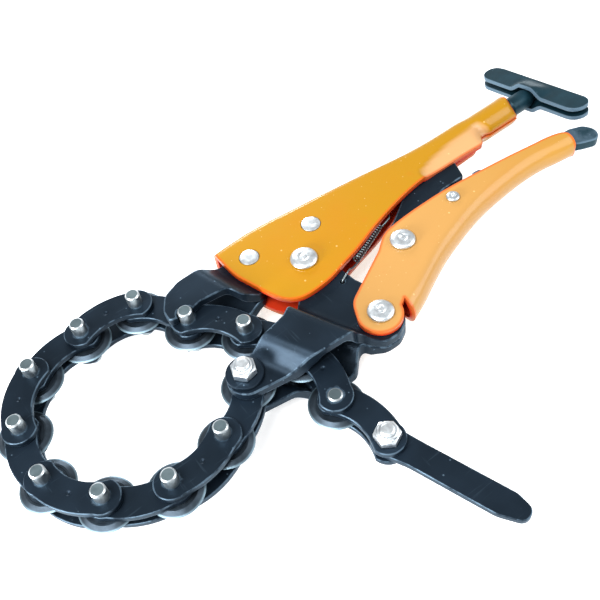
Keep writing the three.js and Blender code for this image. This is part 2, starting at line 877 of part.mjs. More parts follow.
// Toggle link, in its own frame: X from its rivet to the screw's tip
const toggleTip = new THREE.Vector2(toggleTipX, screwY);
const toggleRun = toggleTip.clone().sub(togglePivot);
const toggleReach = toggleRun.length();
const toggleShares = [
  [0.3, -0.1, 1],
  [0.56, -0.115, 1],
  [0.735, -0.222, 0.25],
  [1, -0.012, 0.25],
  [0.975, 0.09, 0.25],
  [0.6, 0.125, 2.5],
];
const toggleOutline = rounded([
  [-toggleEyeRadius, toggleEyeRadius, toggleEyeRadius],
  [-toggleEyeRadius, -toggleEyeRadius, toggleEyeRadius],
  [toggleEyeRadius / 2, -toggleEyeRadius, toggleEyeRadius],
  ...toggleShares.map(([along, across, corner]) => [along * toggleReach, across * toggleReach, corner * toggleCorner]),
  [toggleEyeRadius / 2, toggleEyeRadius, toggleEyeRadius],
]);
addPiece(
  'toggle_link',
  slab(toggleOutline, -toggleWidth / 2, toggleWidth / 2, [[0, 0, rivetBore]], 8),
  blackSteel(),
  togglePivot,
  toggleRun.angle(),
);

// Release lever, from its rivet along the lower handle to the thumb end past the tip
const releaseShares = [
  [0.2, 0.05, 0.4],
  [0.235, 0.09, 0.3],
  [0.28, 0.085, 0.3],
  [0.34, 0.02, 0.6],
  [0.7, -0.025, 0.8],
  [0.785, -0.01, 0.4],
  [0.85, -0.014, 0.6],
  [0.925, -0.047, 1],
  [0.958, -0.112, 1],
  [0.916, -0.178, 1],
  [0.835, -0.145, 0.8],
  [0.79, -0.122, 0.3],
  [0.79, -0.056, 0.2],
  [0.7, -0.052, 1.2],
  [0.42, -0.032, 1.2],
];
const releaseOutline = rounded([
  [-releaseEyeRadius, releaseEyeRadius, releaseEyeRadius],
  [-releaseEyeRadius, -releaseEyeRadius, releaseEyeRadius],
  [releaseEyeRadius, -releaseEyeRadius, releaseEyeRadius],
  ...releaseShares
    .reverse()
    .map(([along, across, corner]) => [along * releaseReach, across * releaseReach, corner * releaseCorner]),
  [releaseEyeRadius, releaseEyeRadius, releaseEyeRadius],
]);
addPiece(
  'release_lever',
  slab(releaseOutline, -releaseWidth / 2, releaseWidth / 2, [[0, 0, releaseRivetRadius + clearance]], 5),
  blueBlack(),
  releasePivot,
);

// Adjusting screw along X, its tip just off the toggle link
const screwTip = toggleTipX + openPivotClearance + threadRadius / 4;
const shankStart = tubeEnd + shankGap;
const shankEnd = barStart + barWidth - 2 * barSheet;
const shankPoint = flangeHalf - barSheet - clearance;
const screwBody = alongScrew(
  [
    [0, screwTip],
    [threadRadius - pinChamfer, screwTip],
    [threadRadius, screwTip + pinChamfer],
    [threadRadius, shankStart - pinChamfer],
    [shankRadius, shankStart],
    [shankRadius, barStart - clearance],
    [shankPoint, shankEnd],
    [0, shankEnd],
  ],
  16,
);
addPiece('adjusting_screw', screwBody, blueBlack());

// T handle: a strip folded over into two flanges with round ends, swollen in front for the shank.
// Stations run across the screw as [share of half length, front, back, rise of the swelling].
const barHalf = barLength / 2;
const barStationShares = [
  [1, 0.42, 0.58, 0],
  [0.97, 0.23, 0.77, 0],
  [0.91, 0.08, 0.92, 0],
  [0.8, 0, 1, 0],
  [0.36, 0, 1, 0],
  [0.26, 0, 1, 0.4],
  [0.17, 0, 1, 0.85],
  [0.08, 0, 1, 1],
];
const bulgeHalf = shankRadius + clearance + barSheet;
const fullStations = [
  ...barStationShares.map(([along, ...rest]) => [-along, ...rest]),
  ...barStationShares.slice().reverse(),
];

function barRing(along, front, back, frontHalf, backHalf, chamfer) {
  return [
    new THREE.Vector3(front, along, -frontHalf),
    new THREE.Vector3(back - chamfer, along, -backHalf),
    new THREE.Vector3(back, along, -backHalf + chamfer),
    new THREE.Vector3(back, along, backHalf - chamfer),
    new THREE.Vector3(back - chamfer, along, backHalf),
    new THREE.Vector3(front, along, frontHalf),
  ].reverse();
}

const barOutside = fullStations.map(([along, front, back, rise]) => {
  const half = THREE.MathUtils.lerp(flangeHalf, bulgeHalf, rise);
  return barRing(along * barHalf, front * barWidth, back * barWidth, half, flangeHalf, barSheet / 2);
});
const barInside = fullStations.map(([along, , , rise], i) => {
  const steep = (bulgeHalf - flangeHalf) / (barWidth - barSheet);
  const half = THREE.MathUtils.lerp(flangeHalf, bulgeHalf + steep * overrun, rise) - barSheet;
  const past = i === 0 ? -overrun : i === fullStations.length - 1 ? overrun : 0;
  const back = barWidth - barSheet;
  return barRing(along * barHalf + past, -overrun, back, half, flangeHalf - barSheet, barSheet / 4);
});
const bar = toGeometry(toSolid(loft(barOutside)).subtract(toSolid(loft(barInside))));
const handleMesh = addPiece('t_handle', bar, blueBlack(), new THREE.Vector2(barStart, screwY));
handleMesh.rotation.x = barTurn * degree;

// Return spring: one unbroken wire from the hole in the jaw plate, through its curls, to the lug
const springAxis = springLug.clone().sub(springStart).normalize();
const springSide = new THREE.Vector2(-springAxis.y, springAxis.x);
const stepsPerCurl = 8;
const coilLength = springCurls * springPitch;

function onSpring(along, across, level) {
  return new THREE.Vector3(
    springStart.x + springAxis.x * along + springSide.x * across,
    springStart.y + springAxis.y * along + springSide.y * across,
    level,
  );
}

const overPlate = jawHigh + clearance + springWire / 2;
const springPath = [
  new THREE.Vector3(springHole.x, springHole.y, jawHigh - 2 * springWire),
  new THREE.Vector3(springHole.x, springHole.y, jawHigh),
  new THREE.Vector3(springHole.x + springWire, springHole.y + springWire / 2, overPlate),
];
const coilPoints = [];
for (let i = 0; i <= springCurls * stepsPerCurl; i += 1) {
  const angle = (i / stepsPerCurl) * 2 * Math.PI + Math.PI;
  const across = springRadius * Math.cos(angle);
  const level = springLevel + springRadius * Math.sin(angle);
  coilPoints.push(onSpring((i / stepsPerCurl) * springPitch, across, level));
}
springPath.push(onSpring(-5.9 * springPitch, -springRadius, overPlate));
springPath.push(onSpring(-4 * springPitch, -springRadius, springLevel + springRadius));
springPath.push(onSpring(-springWire, -springRadius, springLevel));
springPath.push(...coilPoints);
const lugReach = springLugRadius + clearance + springWire / 2;
const lugAlong = springLug.clone().sub(springStart).dot(springAxis);
springPath.push(onSpring(coilLength + springWire, -springRadius, springLevel));
for (let k = 0; k <= 4; k += 1) {
  const angle = (k / 4) * Math.PI - Math.PI / 2;
  springPath.push(onSpring(lugAlong + lugReach * Math.cos(angle), lugReach * Math.sin(angle), springLevel));
}

function wire(path, radius, sides) {
  const rings = [];
  const tangent = new THREE.Vector3();
  const side = new THREE.Vector3(0, 0, 1);
  const other = new THREE.Vector3();
  path.forEach((point, i) => {
    const before = path[Math.max(i - 1, 0)];
    const after = path[Math.min(i + 1, path.length - 1)];
    tangent.subVectors(after, before).normalize();
    side.addScaledVector(tangent, -side.dot(tangent));
    if (side.lengthSq() < degree) side.set(1, 0, 0).addScaledVector(tangent, -tangent.x);
    side.normalize();
    other.crossVectors(tangent, side);
    rings.push(
      Array.from({ length: sides }, (_, k) => {
        const angle = (k / sides) * 2 * Math.PI;
        return point
          .clone()
          .addScaledVector(side, radius * Math.cos(angle))
          .addScaledVector(other, radius * Math.sin(angle));
      }),
    );
  });
  return loft(rings);
}

addPiece('return_spring', wire(springPath, springWire / 2, 5), springSteel());

let springGap = Infinity;
coilPoints.forEach((point, i) => {
  for (let j = i + stepsPerCurl / 2; j < coilPoints.length; j += 1) {
    springGap = Math.min(springGap, point.distanceTo(coilPoints[j]) - springWire);
  }
});
console.log(`return_spring: least gap between curls ${springGap.toFixed(2)} mm`);

// Stand the tool on the ground plane, with the origin at the middle of its footprint
const box = new THREE.Box3().setFromObject(group, true);
const middle = box.getCenter(new THREE.Vector3());
group.position.set(-middle.x, -middle.y, -box.min.z);

export default group;
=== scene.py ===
"""Chain pipe cutter: the finished look of the tool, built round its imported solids.

Lengths are in metres. Pieces are drawn in the tool's own frame, whose origin is the main pivot at the
middle of the chain's thickness, with +X along the screw, and are then moved to where the frame has it.
"""

import json
import math
from contextlib import contextmanager

import bmesh
import bpy
from bpy.props import FloatProperty, FloatVectorProperty, PointerProperty
from mathutils import Matrix, Vector
from mathutils.geometry import delaunay_2d_cdt


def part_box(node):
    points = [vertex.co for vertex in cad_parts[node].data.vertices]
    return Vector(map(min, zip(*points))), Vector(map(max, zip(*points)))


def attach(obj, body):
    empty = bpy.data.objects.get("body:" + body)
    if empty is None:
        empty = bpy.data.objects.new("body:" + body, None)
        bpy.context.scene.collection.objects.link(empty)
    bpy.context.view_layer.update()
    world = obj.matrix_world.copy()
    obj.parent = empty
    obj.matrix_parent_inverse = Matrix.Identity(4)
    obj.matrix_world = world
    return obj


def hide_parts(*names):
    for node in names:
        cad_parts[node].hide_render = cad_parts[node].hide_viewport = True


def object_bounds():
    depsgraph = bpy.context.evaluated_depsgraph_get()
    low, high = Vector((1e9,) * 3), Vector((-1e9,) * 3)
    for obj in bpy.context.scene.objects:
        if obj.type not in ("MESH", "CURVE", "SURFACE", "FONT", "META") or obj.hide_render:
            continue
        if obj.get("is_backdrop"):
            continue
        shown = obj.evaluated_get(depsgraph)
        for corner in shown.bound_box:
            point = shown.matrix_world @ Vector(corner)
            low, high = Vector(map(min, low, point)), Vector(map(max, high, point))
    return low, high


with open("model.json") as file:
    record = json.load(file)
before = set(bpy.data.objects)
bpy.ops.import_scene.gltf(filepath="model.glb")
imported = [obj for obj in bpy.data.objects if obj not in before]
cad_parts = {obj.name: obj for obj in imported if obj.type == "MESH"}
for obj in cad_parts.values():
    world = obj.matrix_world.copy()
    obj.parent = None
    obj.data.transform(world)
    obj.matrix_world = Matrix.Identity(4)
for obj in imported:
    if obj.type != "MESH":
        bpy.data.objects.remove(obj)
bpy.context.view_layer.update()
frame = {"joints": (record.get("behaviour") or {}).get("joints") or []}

bl_info = {
    "name": "Chain pipe cutter",
    "version": (1, 0, 0),
    "blender": (4, 5, 0),
    "location": "View3D > Sidebar > Cutter",
    "description": "Builds the finished surfaces of a locking chain pipe cutter",
    "category": "Object",
}

MM = 0.001
LINKS = 13
BORE_STEPS = 40
SIDE_RIM, FAR_RIM = 1.2 * MM, 3 * MM  # rim distances given to a plate's sides and to its middle
SHARP_TURN = math.radians(58)
DONE = {"FINISHED"}


def middle(node):
    low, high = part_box(node)
    return (low + high) / 2


ORIGIN = middle("main_pivot_rivet")
JOINTS = {joint["name"]: joint for joint in frame["joints"]}


def joint_place(name):
    """A joint's point on the mid-plane of the tool's own frame."""
    return (Vector(JOINTS[name]["pos_m"]) - ORIGIN).to_2d()


PINS = [joint_place(f"link_pivot_{i:02d}") for i in range(LINKS)] + [joint_place("tail_pivot")]
HANDLE_PIVOT, TOGGLE_PIVOT, RELEASE_PIVOT, SCREW_AXIS = (
    joint_place(name) for name in ("handle_pivot", "toggle_pivot", "release_pivot", "t_bar_turn")
)
JAW_RIVET_FRONT, JAW_RIVET_REAR = ((middle("jaw_rivet_" + end) - ORIGIN).to_2d() for end in ("front", "rear"))


# Sizes and colours that a user would change


def size(name, text, millimetres):
    return FloatProperty(
        name=name, description=text, default=millimetres * MM, min=0.0, unit="LENGTH", precision=5
    )


def colour(name, text, value):
    return FloatVectorProperty(
        name=name, description=text, default=value, size=3, min=0.0, max=1.0, subtype="COLOR"
    )


class ChainSizes(bpy.types.PropertyGroup):
    pitch: size("Pitch", "From one chain pin to the next", 25.0)
    pin_radius: size("Pin radius", "Radius of the chain pins", 3.0)
    pin_top: size("Pin top", "Height of a pin's end over the chain's mid-plane", 12.8)
    short_pin_top: size("Short pin top", "Height of the last pin's end", 7.4)
    pin_round: size("Pin round", "Rounding at a pin's end", 0.52)
    clearance: size("Clearance", "Running gap between neighbouring pieces", 0.3)
    plate: size("Plate thickness", "Thickness of a chain plate", 2.5)
    end_radius: size("Plate end radius", "Radius of a plate's ends", 7.0)
    waist: size("Plate waist", "Width of a plate between its pins", 12.2)
    bow: size("Plate bow", "How far a plate bows out of the ring", 3.1)
    edge: size("Plate edge", "Rounding along a plate's edges", 0.35)
    wheel_radius: size("Wheel radius", "Radius of a cutter wheel", 11.0)
    wheel_half: size("Wheel half thickness", "Half a wheel's thickness at its hub", 1.35)
    wheel_bevel: size("Wheel bevel", "Radial length of the bevel to the cutting rim", 2.4)


class HandleSizes(bpy.types.PropertyGroup):
    sheet: size("Sheet", "Thickness of the pressed steel", 2.4)
    half: size("Half width", "From the middle to a handle's outer wall", 6.85)
    spine: size("Spine", "Height of the shell's back over the main pivot", 30.7)
    shell_front: size("Shell front", "From the main pivot forward to the shell's nose", 27.1)
    shell_length: size("Shell length", "Length of the main shell with its tube", 161.1)
    belly: size("Belly depth", "Greatest depth of the main shell", 46.8)
    spine_corner: size("Spine corner", "Bend radius along the shell's back", 3.2)
    neck_corner: size("Neck corner", "Bend radius along the neck", 5.4)
    tube_radius: size("Tube radius", "Radius of the threaded tube end", 7.1)
    panel_depth: size("Panel depth", "Depth of the pressed flats on the neck", 0.9)
    lip: size("Lip", "Rounding along the open edges", 0.95)
    web_start: size("Web start", "From the main pivot to the lower handle's web", 18.0)
    length: size("Handle length", "Length of the lower handle", 118.0)
    depth: size("Handle depth", "Depth of the lower handle's sweep", 39.6)
    open_drop: size("Handle opening", "Drop of the lower handle's open edge under the main pivot", 9.8)
    ear_radius: size("Ear radius", "Radius of the lower handle's ears", 9.8)


class JawSizes(bpy.types.PropertyGroup):
    plate: size("Jaw plate", "Thickness of the jaw plates", 4.0)
    edge: size("Jaw edge", "Rounding along the jaw plates' edges", 0.6)
    bend: size("Bend", "Length over which a jaw plate bends", 4.0)
    eye: size("Jaw eye", "Radius of the jaw round the main pivot", 9.0)
    handle_eye: size("Handle eye", "Radius of the jaw round the handle pivot", 11.0)
    anchor_eye: size("Anchor eye", "Radius of the jaw round the chain's anchor", 8.0)
    hook_corner: size("Hook corner", "Largest corner radius of the hook plates", 8.0)
    rivet: size("Rivet radius", "Radius of the pivot rivets' shanks", 4.0)
    flush_rivet: size("Flush rivet radius", "Radius of the rivets that hold the hook plates", 4.3)
    notch: size("Notch radius", "Radius of the hook's notch", 3.5)


class FinishColours(bpy.types.PropertyGroup):
    enamel: colour("Enamel", "Orange enamel of the handles", (0.35, 0.168, 0.001))
    enamel_deep: colour("Deep enamel", "Enamel where it lies thick", (0.52, 0.060, 0.003))
    # Painted reflection: the pale peach that the pressed flats and the lower handle show where they catch the
    # light.
    enamel_painted_reflection: colour("Pale enamel", "Enamel where it lies thin over a pressed flat", (0.49, 0.275, 0.115))
    # Partly painted shade: the paint's own red, deepened for the shadow inside the walls
    enamel_inside_shade: colour("Inner enamel", "Enamel inside the pressed walls", (0.50, 0.030, 0.008))
    black: colour("Black steel", "Blackened plates", (0.006, 0.011, 0.018))
    worn: colour("Worn edge", "Steel that shows where the black has worn off", (0.15, 0.23, 0.31))
    wheel: colour("Wheel steel", "Cutter wheels", (0.030, 0.042, 0.055))
    rim: colour("Ground rim", "Ground cutting edges", (0.19, 0.28, 0.34))
    zinc: colour("Zinc", "Plated rivets and nuts", (0.84, 0.90, 0.94))
    blue: colour("Blue-black", "Oxide on the screw, T handle and release lever", (0.005, 0.021, 0.031))
    spring: colour("Spring wire", "Dark spring steel", (0.13, 0.16, 0.17))
    floor: colour("Floor", "Pale floor", (0.72, 0.73, 0.74))


GROUPS = {"chain": ChainSizes, "handles": HandleSizes, "jaws": JawSizes, "finishes": FinishColours}


def sizes(group):
    return getattr(bpy.context.scene, "cutter_" + group)


# Materials


class Value:
    """A socket that adds Math nodes when it is used in an expression."""

    def __init__(self, finish, socket):
        self.finish, self.socket = finish, socket

    def math(self, operation, first, second):
        return self.finish.value("ShaderNodeMath", {"operation": operation}, {0: first, 1: second})

    def __add__(self, other):
        return self.math("ADD", self, other)

    def __sub__(self, other):
        return self.math("SUBTRACT", self, other)

    def __rsub__(self, other):
        return self.math("SUBTRACT", other, self)

    def __mul__(self, other):
        return self.math("MULTIPLY", self, other)

    __radd__, __rmul__ = __add__, __mul__

    def clip(self):
        return self.finish.value("ShaderNodeClamp", {}, {"Value": self})

    def step(self, low, high):
        """0 below low, 1 above high, smooth between; low may be over high."""
        sockets = {"Value": self, "From Min": low, "From Max": high, "To Min": 0.0, "To Max": 1.0}
        return self.finish.value("ShaderNodeMapRange", {"interpolation_type": "SMOOTHSTEP"}, sockets)


class Finish:
    """One procedural material with a Principled shader."""

    def __init__(self, name, **constants):
        self.material = bpy.data.materials.new(name)
        self.material.use_nodes = True
        self.tree = self.material.node_tree
        self.tree.nodes.clear()
        self.shader = self.node("ShaderNodeBsdfPrincipled")
        for socket, constant in constants.items():
            self.shader.inputs[socket.replace("_", " ")].default_value = constant
        self.node("ShaderNodeOutputMaterial", {}, {0: self.shader.outputs[0]})
        self.place = self.node("ShaderNodeTexCoord").outputs["Object"]

    def node(self, kind, settings=None, sockets=None):
        made = self.tree.nodes.new(kind)
        for key, setting in (settings or {}).items():
            setattr(made, key, setting)
        for key, given in (sockets or {}).items():
            self.feed(made.inputs[key], given)
        return made

    def feed(self, socket, given):
        if isinstance(given, Value):
            given = given.socket
        if isinstance(given, bpy.types.NodeSocket):
            self.tree.links.new(given, socket)
        elif socket.type == "RGBA" and len(given) == 3:
            socket.default_value = (*given, 1.0)
        else:
            socket.default_value = given

    def value(self, kind, settings, sockets, output=0):
        return Value(self, self.node(kind, settings, sockets).outputs[output])

    def mapped(self, stretch=(1, 1, 1), shift=0.0):
        sockets = {"Vector": self.place, "Scale": stretch, "Location": (shift, shift, shift)}
        return self.node("ShaderNodeMapping", {}, sockets).outputs[0]

    def noise(self, scale, detail=2.0, roughness=0.5, place=None):
        sockets = {"Vector": place or self.place, "Scale": scale, "Detail": detail, "Roughness": roughness}
        return self.value("ShaderNodeTexNoise", {}, sockets)

    def specks(self, scale, share, shift=0.0):
        """Round specks in a share of the cells of a pattern."""
        cells = self.node("ShaderNodeTexVoronoi", {}, {"Vector": self.mapped(shift=shift), "Scale": scale})
        chosen = self.value("ShaderNodeSeparateColor", {}, {"Color": cells.outputs["Color"]})
        return Value(self, cells.outputs["Distance"]).step(0.22, 0.12) * chosen.step(1 - share, 1 - share / 2)

    def attribute(self, name):
        return self.value("ShaderNodeAttribute", {"attribute_name": name}, {}, output=2)

    def layered(self, tone, *layers):
        """A colour with others laid over it, each given as (cover, colour)."""
        for cover, over in layers:
            node = self.node("ShaderNodeMix", {"data_type": "RGBA"}, {0: cover, 6: tone, 7: over})
            tone = node.outputs[2]
        return tone

    def give(self, name, given):
        self.feed(self.shader.inputs[name], given)

    def done(self, tone, roughness, height, strength, distance):
        """Feeds the shader's main sockets and gives the material; the bump's distance is in millimetres."""
        sockets = {"Height": height, "Strength": strength, "Distance": distance * MM}
        bump = self.node("ShaderNodeBump", {}, sockets)
        self.give("Base Color", tone)
        self.give("Roughness", roughness)
        self.give("Normal", bump.outputs[0])
        return self.material


def shade(tone, factor):
    return [share * factor for share in tone]


def enamel(colours):
    """Glossy orange enamel on pressed steel: thicker and redder on the lips, redder inside the walls as painted
    shade, pale peach on the pressed flats and the lower handle as a painted reflection, with dust specks.
    """
    finish = Finish("orange_enamel", Metallic=0.0, IOR=1.5, Specular_IOR_Level=0.2, Coat_Roughness=0.06)
    cloud = finish.noise(22.0, 3.0)
    grain = finish.noise(140.0, 4.0, 0.6)
    lip = finish.attribute("rim").step(1.5 * MM, 0.25 * MM)
    inner = finish.attribute("inner").step(0.3, 0.9)
    deep = (cloud.step(0.5, 0.8) * 0.10 + grain.step(0.6, 0.8) * 0.08 + lip * 0.7).clip()
    dust = finish.specks(420.0, 0.06) + finish.specks(800.0, 0.05, shift=2.0)
    bare = lip * finish.noise(700.0, 3.0).step(0.66, 0.76)
    tone = finish.layered(
        colours.enamel,
        # Painted reflection: pale peach over the pressed flats and the lower handle
        (finish.attribute("pale"), colours.enamel_painted_reflection),
        (deep, colours.enamel_deep),
        # Painted shade: redder enamel over the inner skin of the walls
        (inner, colours.enamel_inside_shade),
        ((dust * 0.35).clip(), (0.85, 0.60, 0.28)),
        (bare * 0.5, (0.20, 0.10, 0.05)),
    )
    finish.give("Coat Weight", (0.24 - dust * 0.2 - inner * 0.2).clip())
    relief = finish.noise(750.0) + finish.noise(160.0) * 2.0
    return finish.done(tone, 0.26 + grain * 0.10 + dust * 0.2 + bare * 0.2, relief, 0.12, 0.06)


def blackened(colours):
    """Blackened steel plate: fine grain, pale specks, and edges worn back to bare steel."""
    tint = (0.62, 0.82, 1.0, 1.0)
    finish = Finish("blackened_steel", Metallic=0.5, IOR=1.5, Specular_IOR_Level=0.3, Specular_Tint=tint)
    patch = finish.noise(140.0, 4.0, 0.65)
    edge = (finish.attribute("rim") + patch * MM).step(0.62 * MM, 0.40 * MM)
    scratch = finish.noise(900.0, 3.0, place=finish.mapped((0.06, 1.0, 1.0))).step(0.64, 0.74)
    cross = finish.noise(800.0, 3.0, place=finish.mapped((1.0, 0.08, 1.0), 3.0)).step(0.66, 0.76)
    cloud = finish.noise(38.0, 3.0)
    worn = (edge * 0.42 + (scratch + cross) * 0.06 + finish.specks(520.0, 0.10) * 0.45).clip()
    grey = shade(colours.black, 1.7)
    tone = finish.layered(colours.black, (cloud.step(0.3, 0.75), grey), (worn, colours.worn))
    roughness = (0.27 + cloud * 0.14 + finish.noise(1500.0) * 0.10 - edge * 0.06).clip()
    return finish.done(tone, roughness, finish.noise(2200.0, 3.0) + patch * 1.5, 0.16, 0.04)


def wheel_steel(colours):
    """Hardened wheel, turned in fine rings, with its cutting bevel ground bright."""
    finish = Finish("wheel_steel", Metallic=0.9, IOR=1.5)
    reach = finish.attribute("reach")
    rings = finish.value("ShaderNodeMath", {"operation": "SINE"}, {0: reach * 26000.0})
    patch = finish.noise(160.0, 4.0, 0.6)
    ground = (reach.step(10.1 * MM, 10.8 * MM) * (0.45 + patch * 0.7)).clip()
    light = shade(colours.wheel, 1.6)
    tone = finish.layered(colours.wheel, (patch.step(0.35, 0.7), light), (ground, colours.rim))
    relief = rings * 0.5 + finish.noise(1500.0, 3.0)
    return finish.done(tone, (0.30 + patch * 0.2 + rings * 0.03).clip(), relief, 0.14, 0.03)


def zinc(colours):
    """Bright zinc plating, slightly mottled, with light handling marks, darker matt riveted ends, and a painted
    dark reflection of the plates on the pins' sides.
    """
    finish = Finish("bright_zinc", Metallic=1.0)
    mottle = finish.noise(420.0, 4.0, 0.6)
    stain = finish.noise(90.0, 3.0).step(0.45, 0.75) * 0.35
    # Darker matt riveted pin tops, and a painted dark reflection of the plates on the pins' sides
    dull = finish.attribute("dull")
    tone = finish.layered(
        shade(colours.zinc, 0.72),
        (mottle.step(0.3, 0.7), colours.zinc),
        (stain, (0.50, 0.60, 0.68)),
        (dull, (0.10, 0.155, 0.175)),
    )
    relief = finish.noise(900.0, 4.0) + mottle * 2.0
    return finish.done(tone, (0.24 + mottle * 0.22 + dull * 0.06).clip(), relief, 0.25, 0.05)


def blue_black(colours):
    """Blue-black oxide on machined and folded steel."""
    tint = (0.7, 0.9, 1.0, 1.0)
    finish = Finish("blue_black_oxide", Metallic=0.3, IOR=1.5, Specular_IOR_Level=0.25, Specular_Tint=tint)
    patch = finish.noise(110.0, 4.0, 0.6)
    edge = (finish.attribute("rim") + patch * 0.8 * MM).step(0.85 * MM, 0.5 * MM)
    worn = (edge * 0.5 + finish.specks(600.0, 0.06) * 0.3).clip()
    light = shade(colours.blue, 1.6)
    tone = finish.layered(colours.blue, (patch.step(0.3, 0.75), light), (worn, colours.worn))
    return finish.done(tone, (0.33 + patch * 0.16).clip(), finish.noise(1700.0, 3.0) + patch, 0.14, 0.04)


def spring_wire(colours):
    """Drawn spring wire with a light film of oil."""
    finish = Finish("spring_wire", Metallic=0.95)
    patch = finish.noise(500.0, 3.0)
    tone = finish.layered(colours.spring, (patch, shade(colours.spring, 2.0)))
    return finish.done(tone, (0.22 + patch * 0.18).clip(), finish.noise(3000.0), 0.10, 0.02)


FINISHES = {
    "orange_paint": enamel,
    "black_steel": blackened,
    "wheel_steel": wheel_steel,
    "zinc": zinc,
    "blue_black": blue_black,
    "spring_steel": spring_wire,
}
MADE = {}


def made_once(key, make, *given):
    if key not in MADE:
        MADE[key] = make(*given)
    return MADE[key]


# Geometry Nodes


class Tree:
    """A Geometry Nodes tree with named inputs, ending in Realize Instances and Set Material."""

    def __init__(self, name, **inputs):
        self.group = bpy.data.node_groups.new(name, "GeometryNodeTree")
        face = self.group.interface
        for key, kind in {"Geometry": "Geometry", **inputs, "Material": "Material"}.items():
            face.new_socket(key, in_out="INPUT", socket_type="NodeSocket" + kind)
        face.new_socket("Geometry", in_out="OUTPUT", socket_type="NodeSocketGeometry")
        self.start = self.group.nodes.new("NodeGroupInput").outputs

    def node(self, kind, settings=None, sockets=None):
        made = self.group.nodes.new(kind)
        for key, setting in (settings or {}).items():
            setattr(made, key, setting)
        for key, given in (sockets or {}).items():
            if isinstance(given, bpy.types.NodeSocket):
                self.group.links.new(given, made.inputs[key])
            else:
                made.inputs[key].default_value = given
        return made.outputs

    def math(self, operation, first, second=0.0):
        return self.node("ShaderNodeMath", {"operation": operation}, {0: first, 1: second})[0]

    def moved(self, geometry, **sockets):
        return self.node("GeometryNodeTransform", {}, {"Geometry": geometry, **sockets})[0]

    def close(self, geometry):
        placed = self.node("GeometryNodeRealizeInstances", {}, {"Geometry": geometry})[0]
        sockets = {"Geometry": placed, "Material": self.start["Material"]}
        painted = self.node("GeometryNodeSetMaterial", {}, sockets)[0]
        self.node("NodeGroupOutput", {}, {0: painted})
        return self.group


def turned_tree():
    """Turns the object's outline of (radius, 0, level) points about Z."""
    tree = Tree("Turned part", Sides="Int", Place="Vector")
    outline, sides = tree.start["Geometry"], tree.start["Sides"]
    count = tree.node("GeometryNodeAttributeDomainSize", {"component": "MESH"}, {0: outline})[0]
    columns = tree.math("ADD", sides, 1.0)
    grid_of = tree.node("GeometryNodeMeshGrid", {}, {"Vertices X": columns, "Vertices Y": count})["Mesh"]
    index = tree.node("GeometryNodeInputIndex")[0]
    column = tree.math("FLOOR", tree.math("DIVIDE", tree.math("ADD", index, 0.5), count))
    row = tree.math("SUBTRACT", index, tree.math("MULTIPLY", column, count))
    angle = tree.math("DIVIDE", tree.math("MULTIPLY", column, 2 * math.pi), sides)
    position = tree.node("GeometryNodeInputPosition")[0]
    sockets = {0: outline, 1: position, 2: row}
    sampled = tree.node("GeometryNodeSampleIndex", {"data_type": "FLOAT_VECTOR"}, sockets)[0]
    parts = tree.node("ShaderNodeSeparateXYZ", {}, {0: sampled})
    x, y = (tree.math("MULTIPLY", parts[0], tree.math(turn, angle)) for turn in ("COSINE", "SINE"))
    moved = tree.node("ShaderNodeCombineXYZ", {}, {0: x, 1: y, 2: parts[2]})[0]
    settings = {"data_type": "FLOAT", "domain": "POINT"}
    sockets = {"Geometry": grid_of, "Name": "reach", "Value": parts[0]}
    marked = tree.node("GeometryNodeStoreNamedAttribute", settings, sockets)[0]
    skin = tree.node("GeometryNodeSetPosition", {}, {"Geometry": marked, "Position": moved})[0]
    joined = tree.node("GeometryNodeMergeByDistance", {}, {"Geometry": skin, "Distance": 0.002 * MM})[0]
    return tree.close(tree.moved(joined, Translation=tree.start["Place"]))


def pair_tree():
    """Repeats a plate below the mid-plane, and sets the pair at a pin of the chain."""
    tree = Tree("Plate pair", Place="Vector", Turn="Rotation")
    plate = tree.start["Geometry"]
    below = tree.node("GeometryNodeFlipFaces", {}, {0: tree.moved(plate, Scale=(1.0, 1.0, -1.0))})[0]
    join = tree.group.nodes.new("GeometryNodeJoinGeometry")
    for part in (below, plate):
        tree.group.links.new(part, join.inputs[0])
    single = tree.node("GeometryNodeGeometryToInstance", {}, {0: join.outputs[0]})[0]
    return tree.close(tree.moved(single, Translation=tree.start["Place"], Rotation=tree.start["Turn"]))


def wire_tree():
    """Draws a round wire along the object's chain of edges."""
    tree = Tree("Wire", Radius="Float", Sides="Int")
    path = tree.node("GeometryNodeMeshToCurve", {}, {0: tree.start["Geometry"]})[0]
    sockets = {"Radius": tree.start["Radius"], "Resolution": tree.start["Sides"]}
    section = tree.node("GeometryNodeCurvePrimitiveCircle", {}, sockets)[0]
    sockets = {"Curve": path, "Profile Curve": section, "Fill Caps": True}
    return tree.close(tree.node("GeometryNodeCurveToMesh", {}, sockets)[0])


def grow(piece, make, **inputs):
    """Adds one of the trees to a piece and sets its inputs by their identifiers."""
    modifier = piece.modifiers.new("grown", "NODES")
    modifier.node_group = group = made_once(make, make)
    names = {item.name: item.identifier for item in group.interface.items_tree if item.in_out == "INPUT"}
    for key, given in inputs.items():
        modifier[names[key]] = given
    return piece


# Meshes


def mark(mesh, name, numbers):
    """Stores a number at each point, for the materials."""
    mesh.attributes.new(name, "FLOAT", "POINT").data.foreach_set("value", numbers)


def new_piece(name, points, faces, edges=(), rim=None):
    mesh = bpy.data.meshes.new(name)
    mesh.from_pydata([tuple(point) for point in points], list(edges), faces)
    if rim is not None:
        mark(mesh, "rim", rim)
    piece = bpy.data.objects.new(name, mesh)
    bpy.context.scene.collection.objects.link(piece)
    return piece


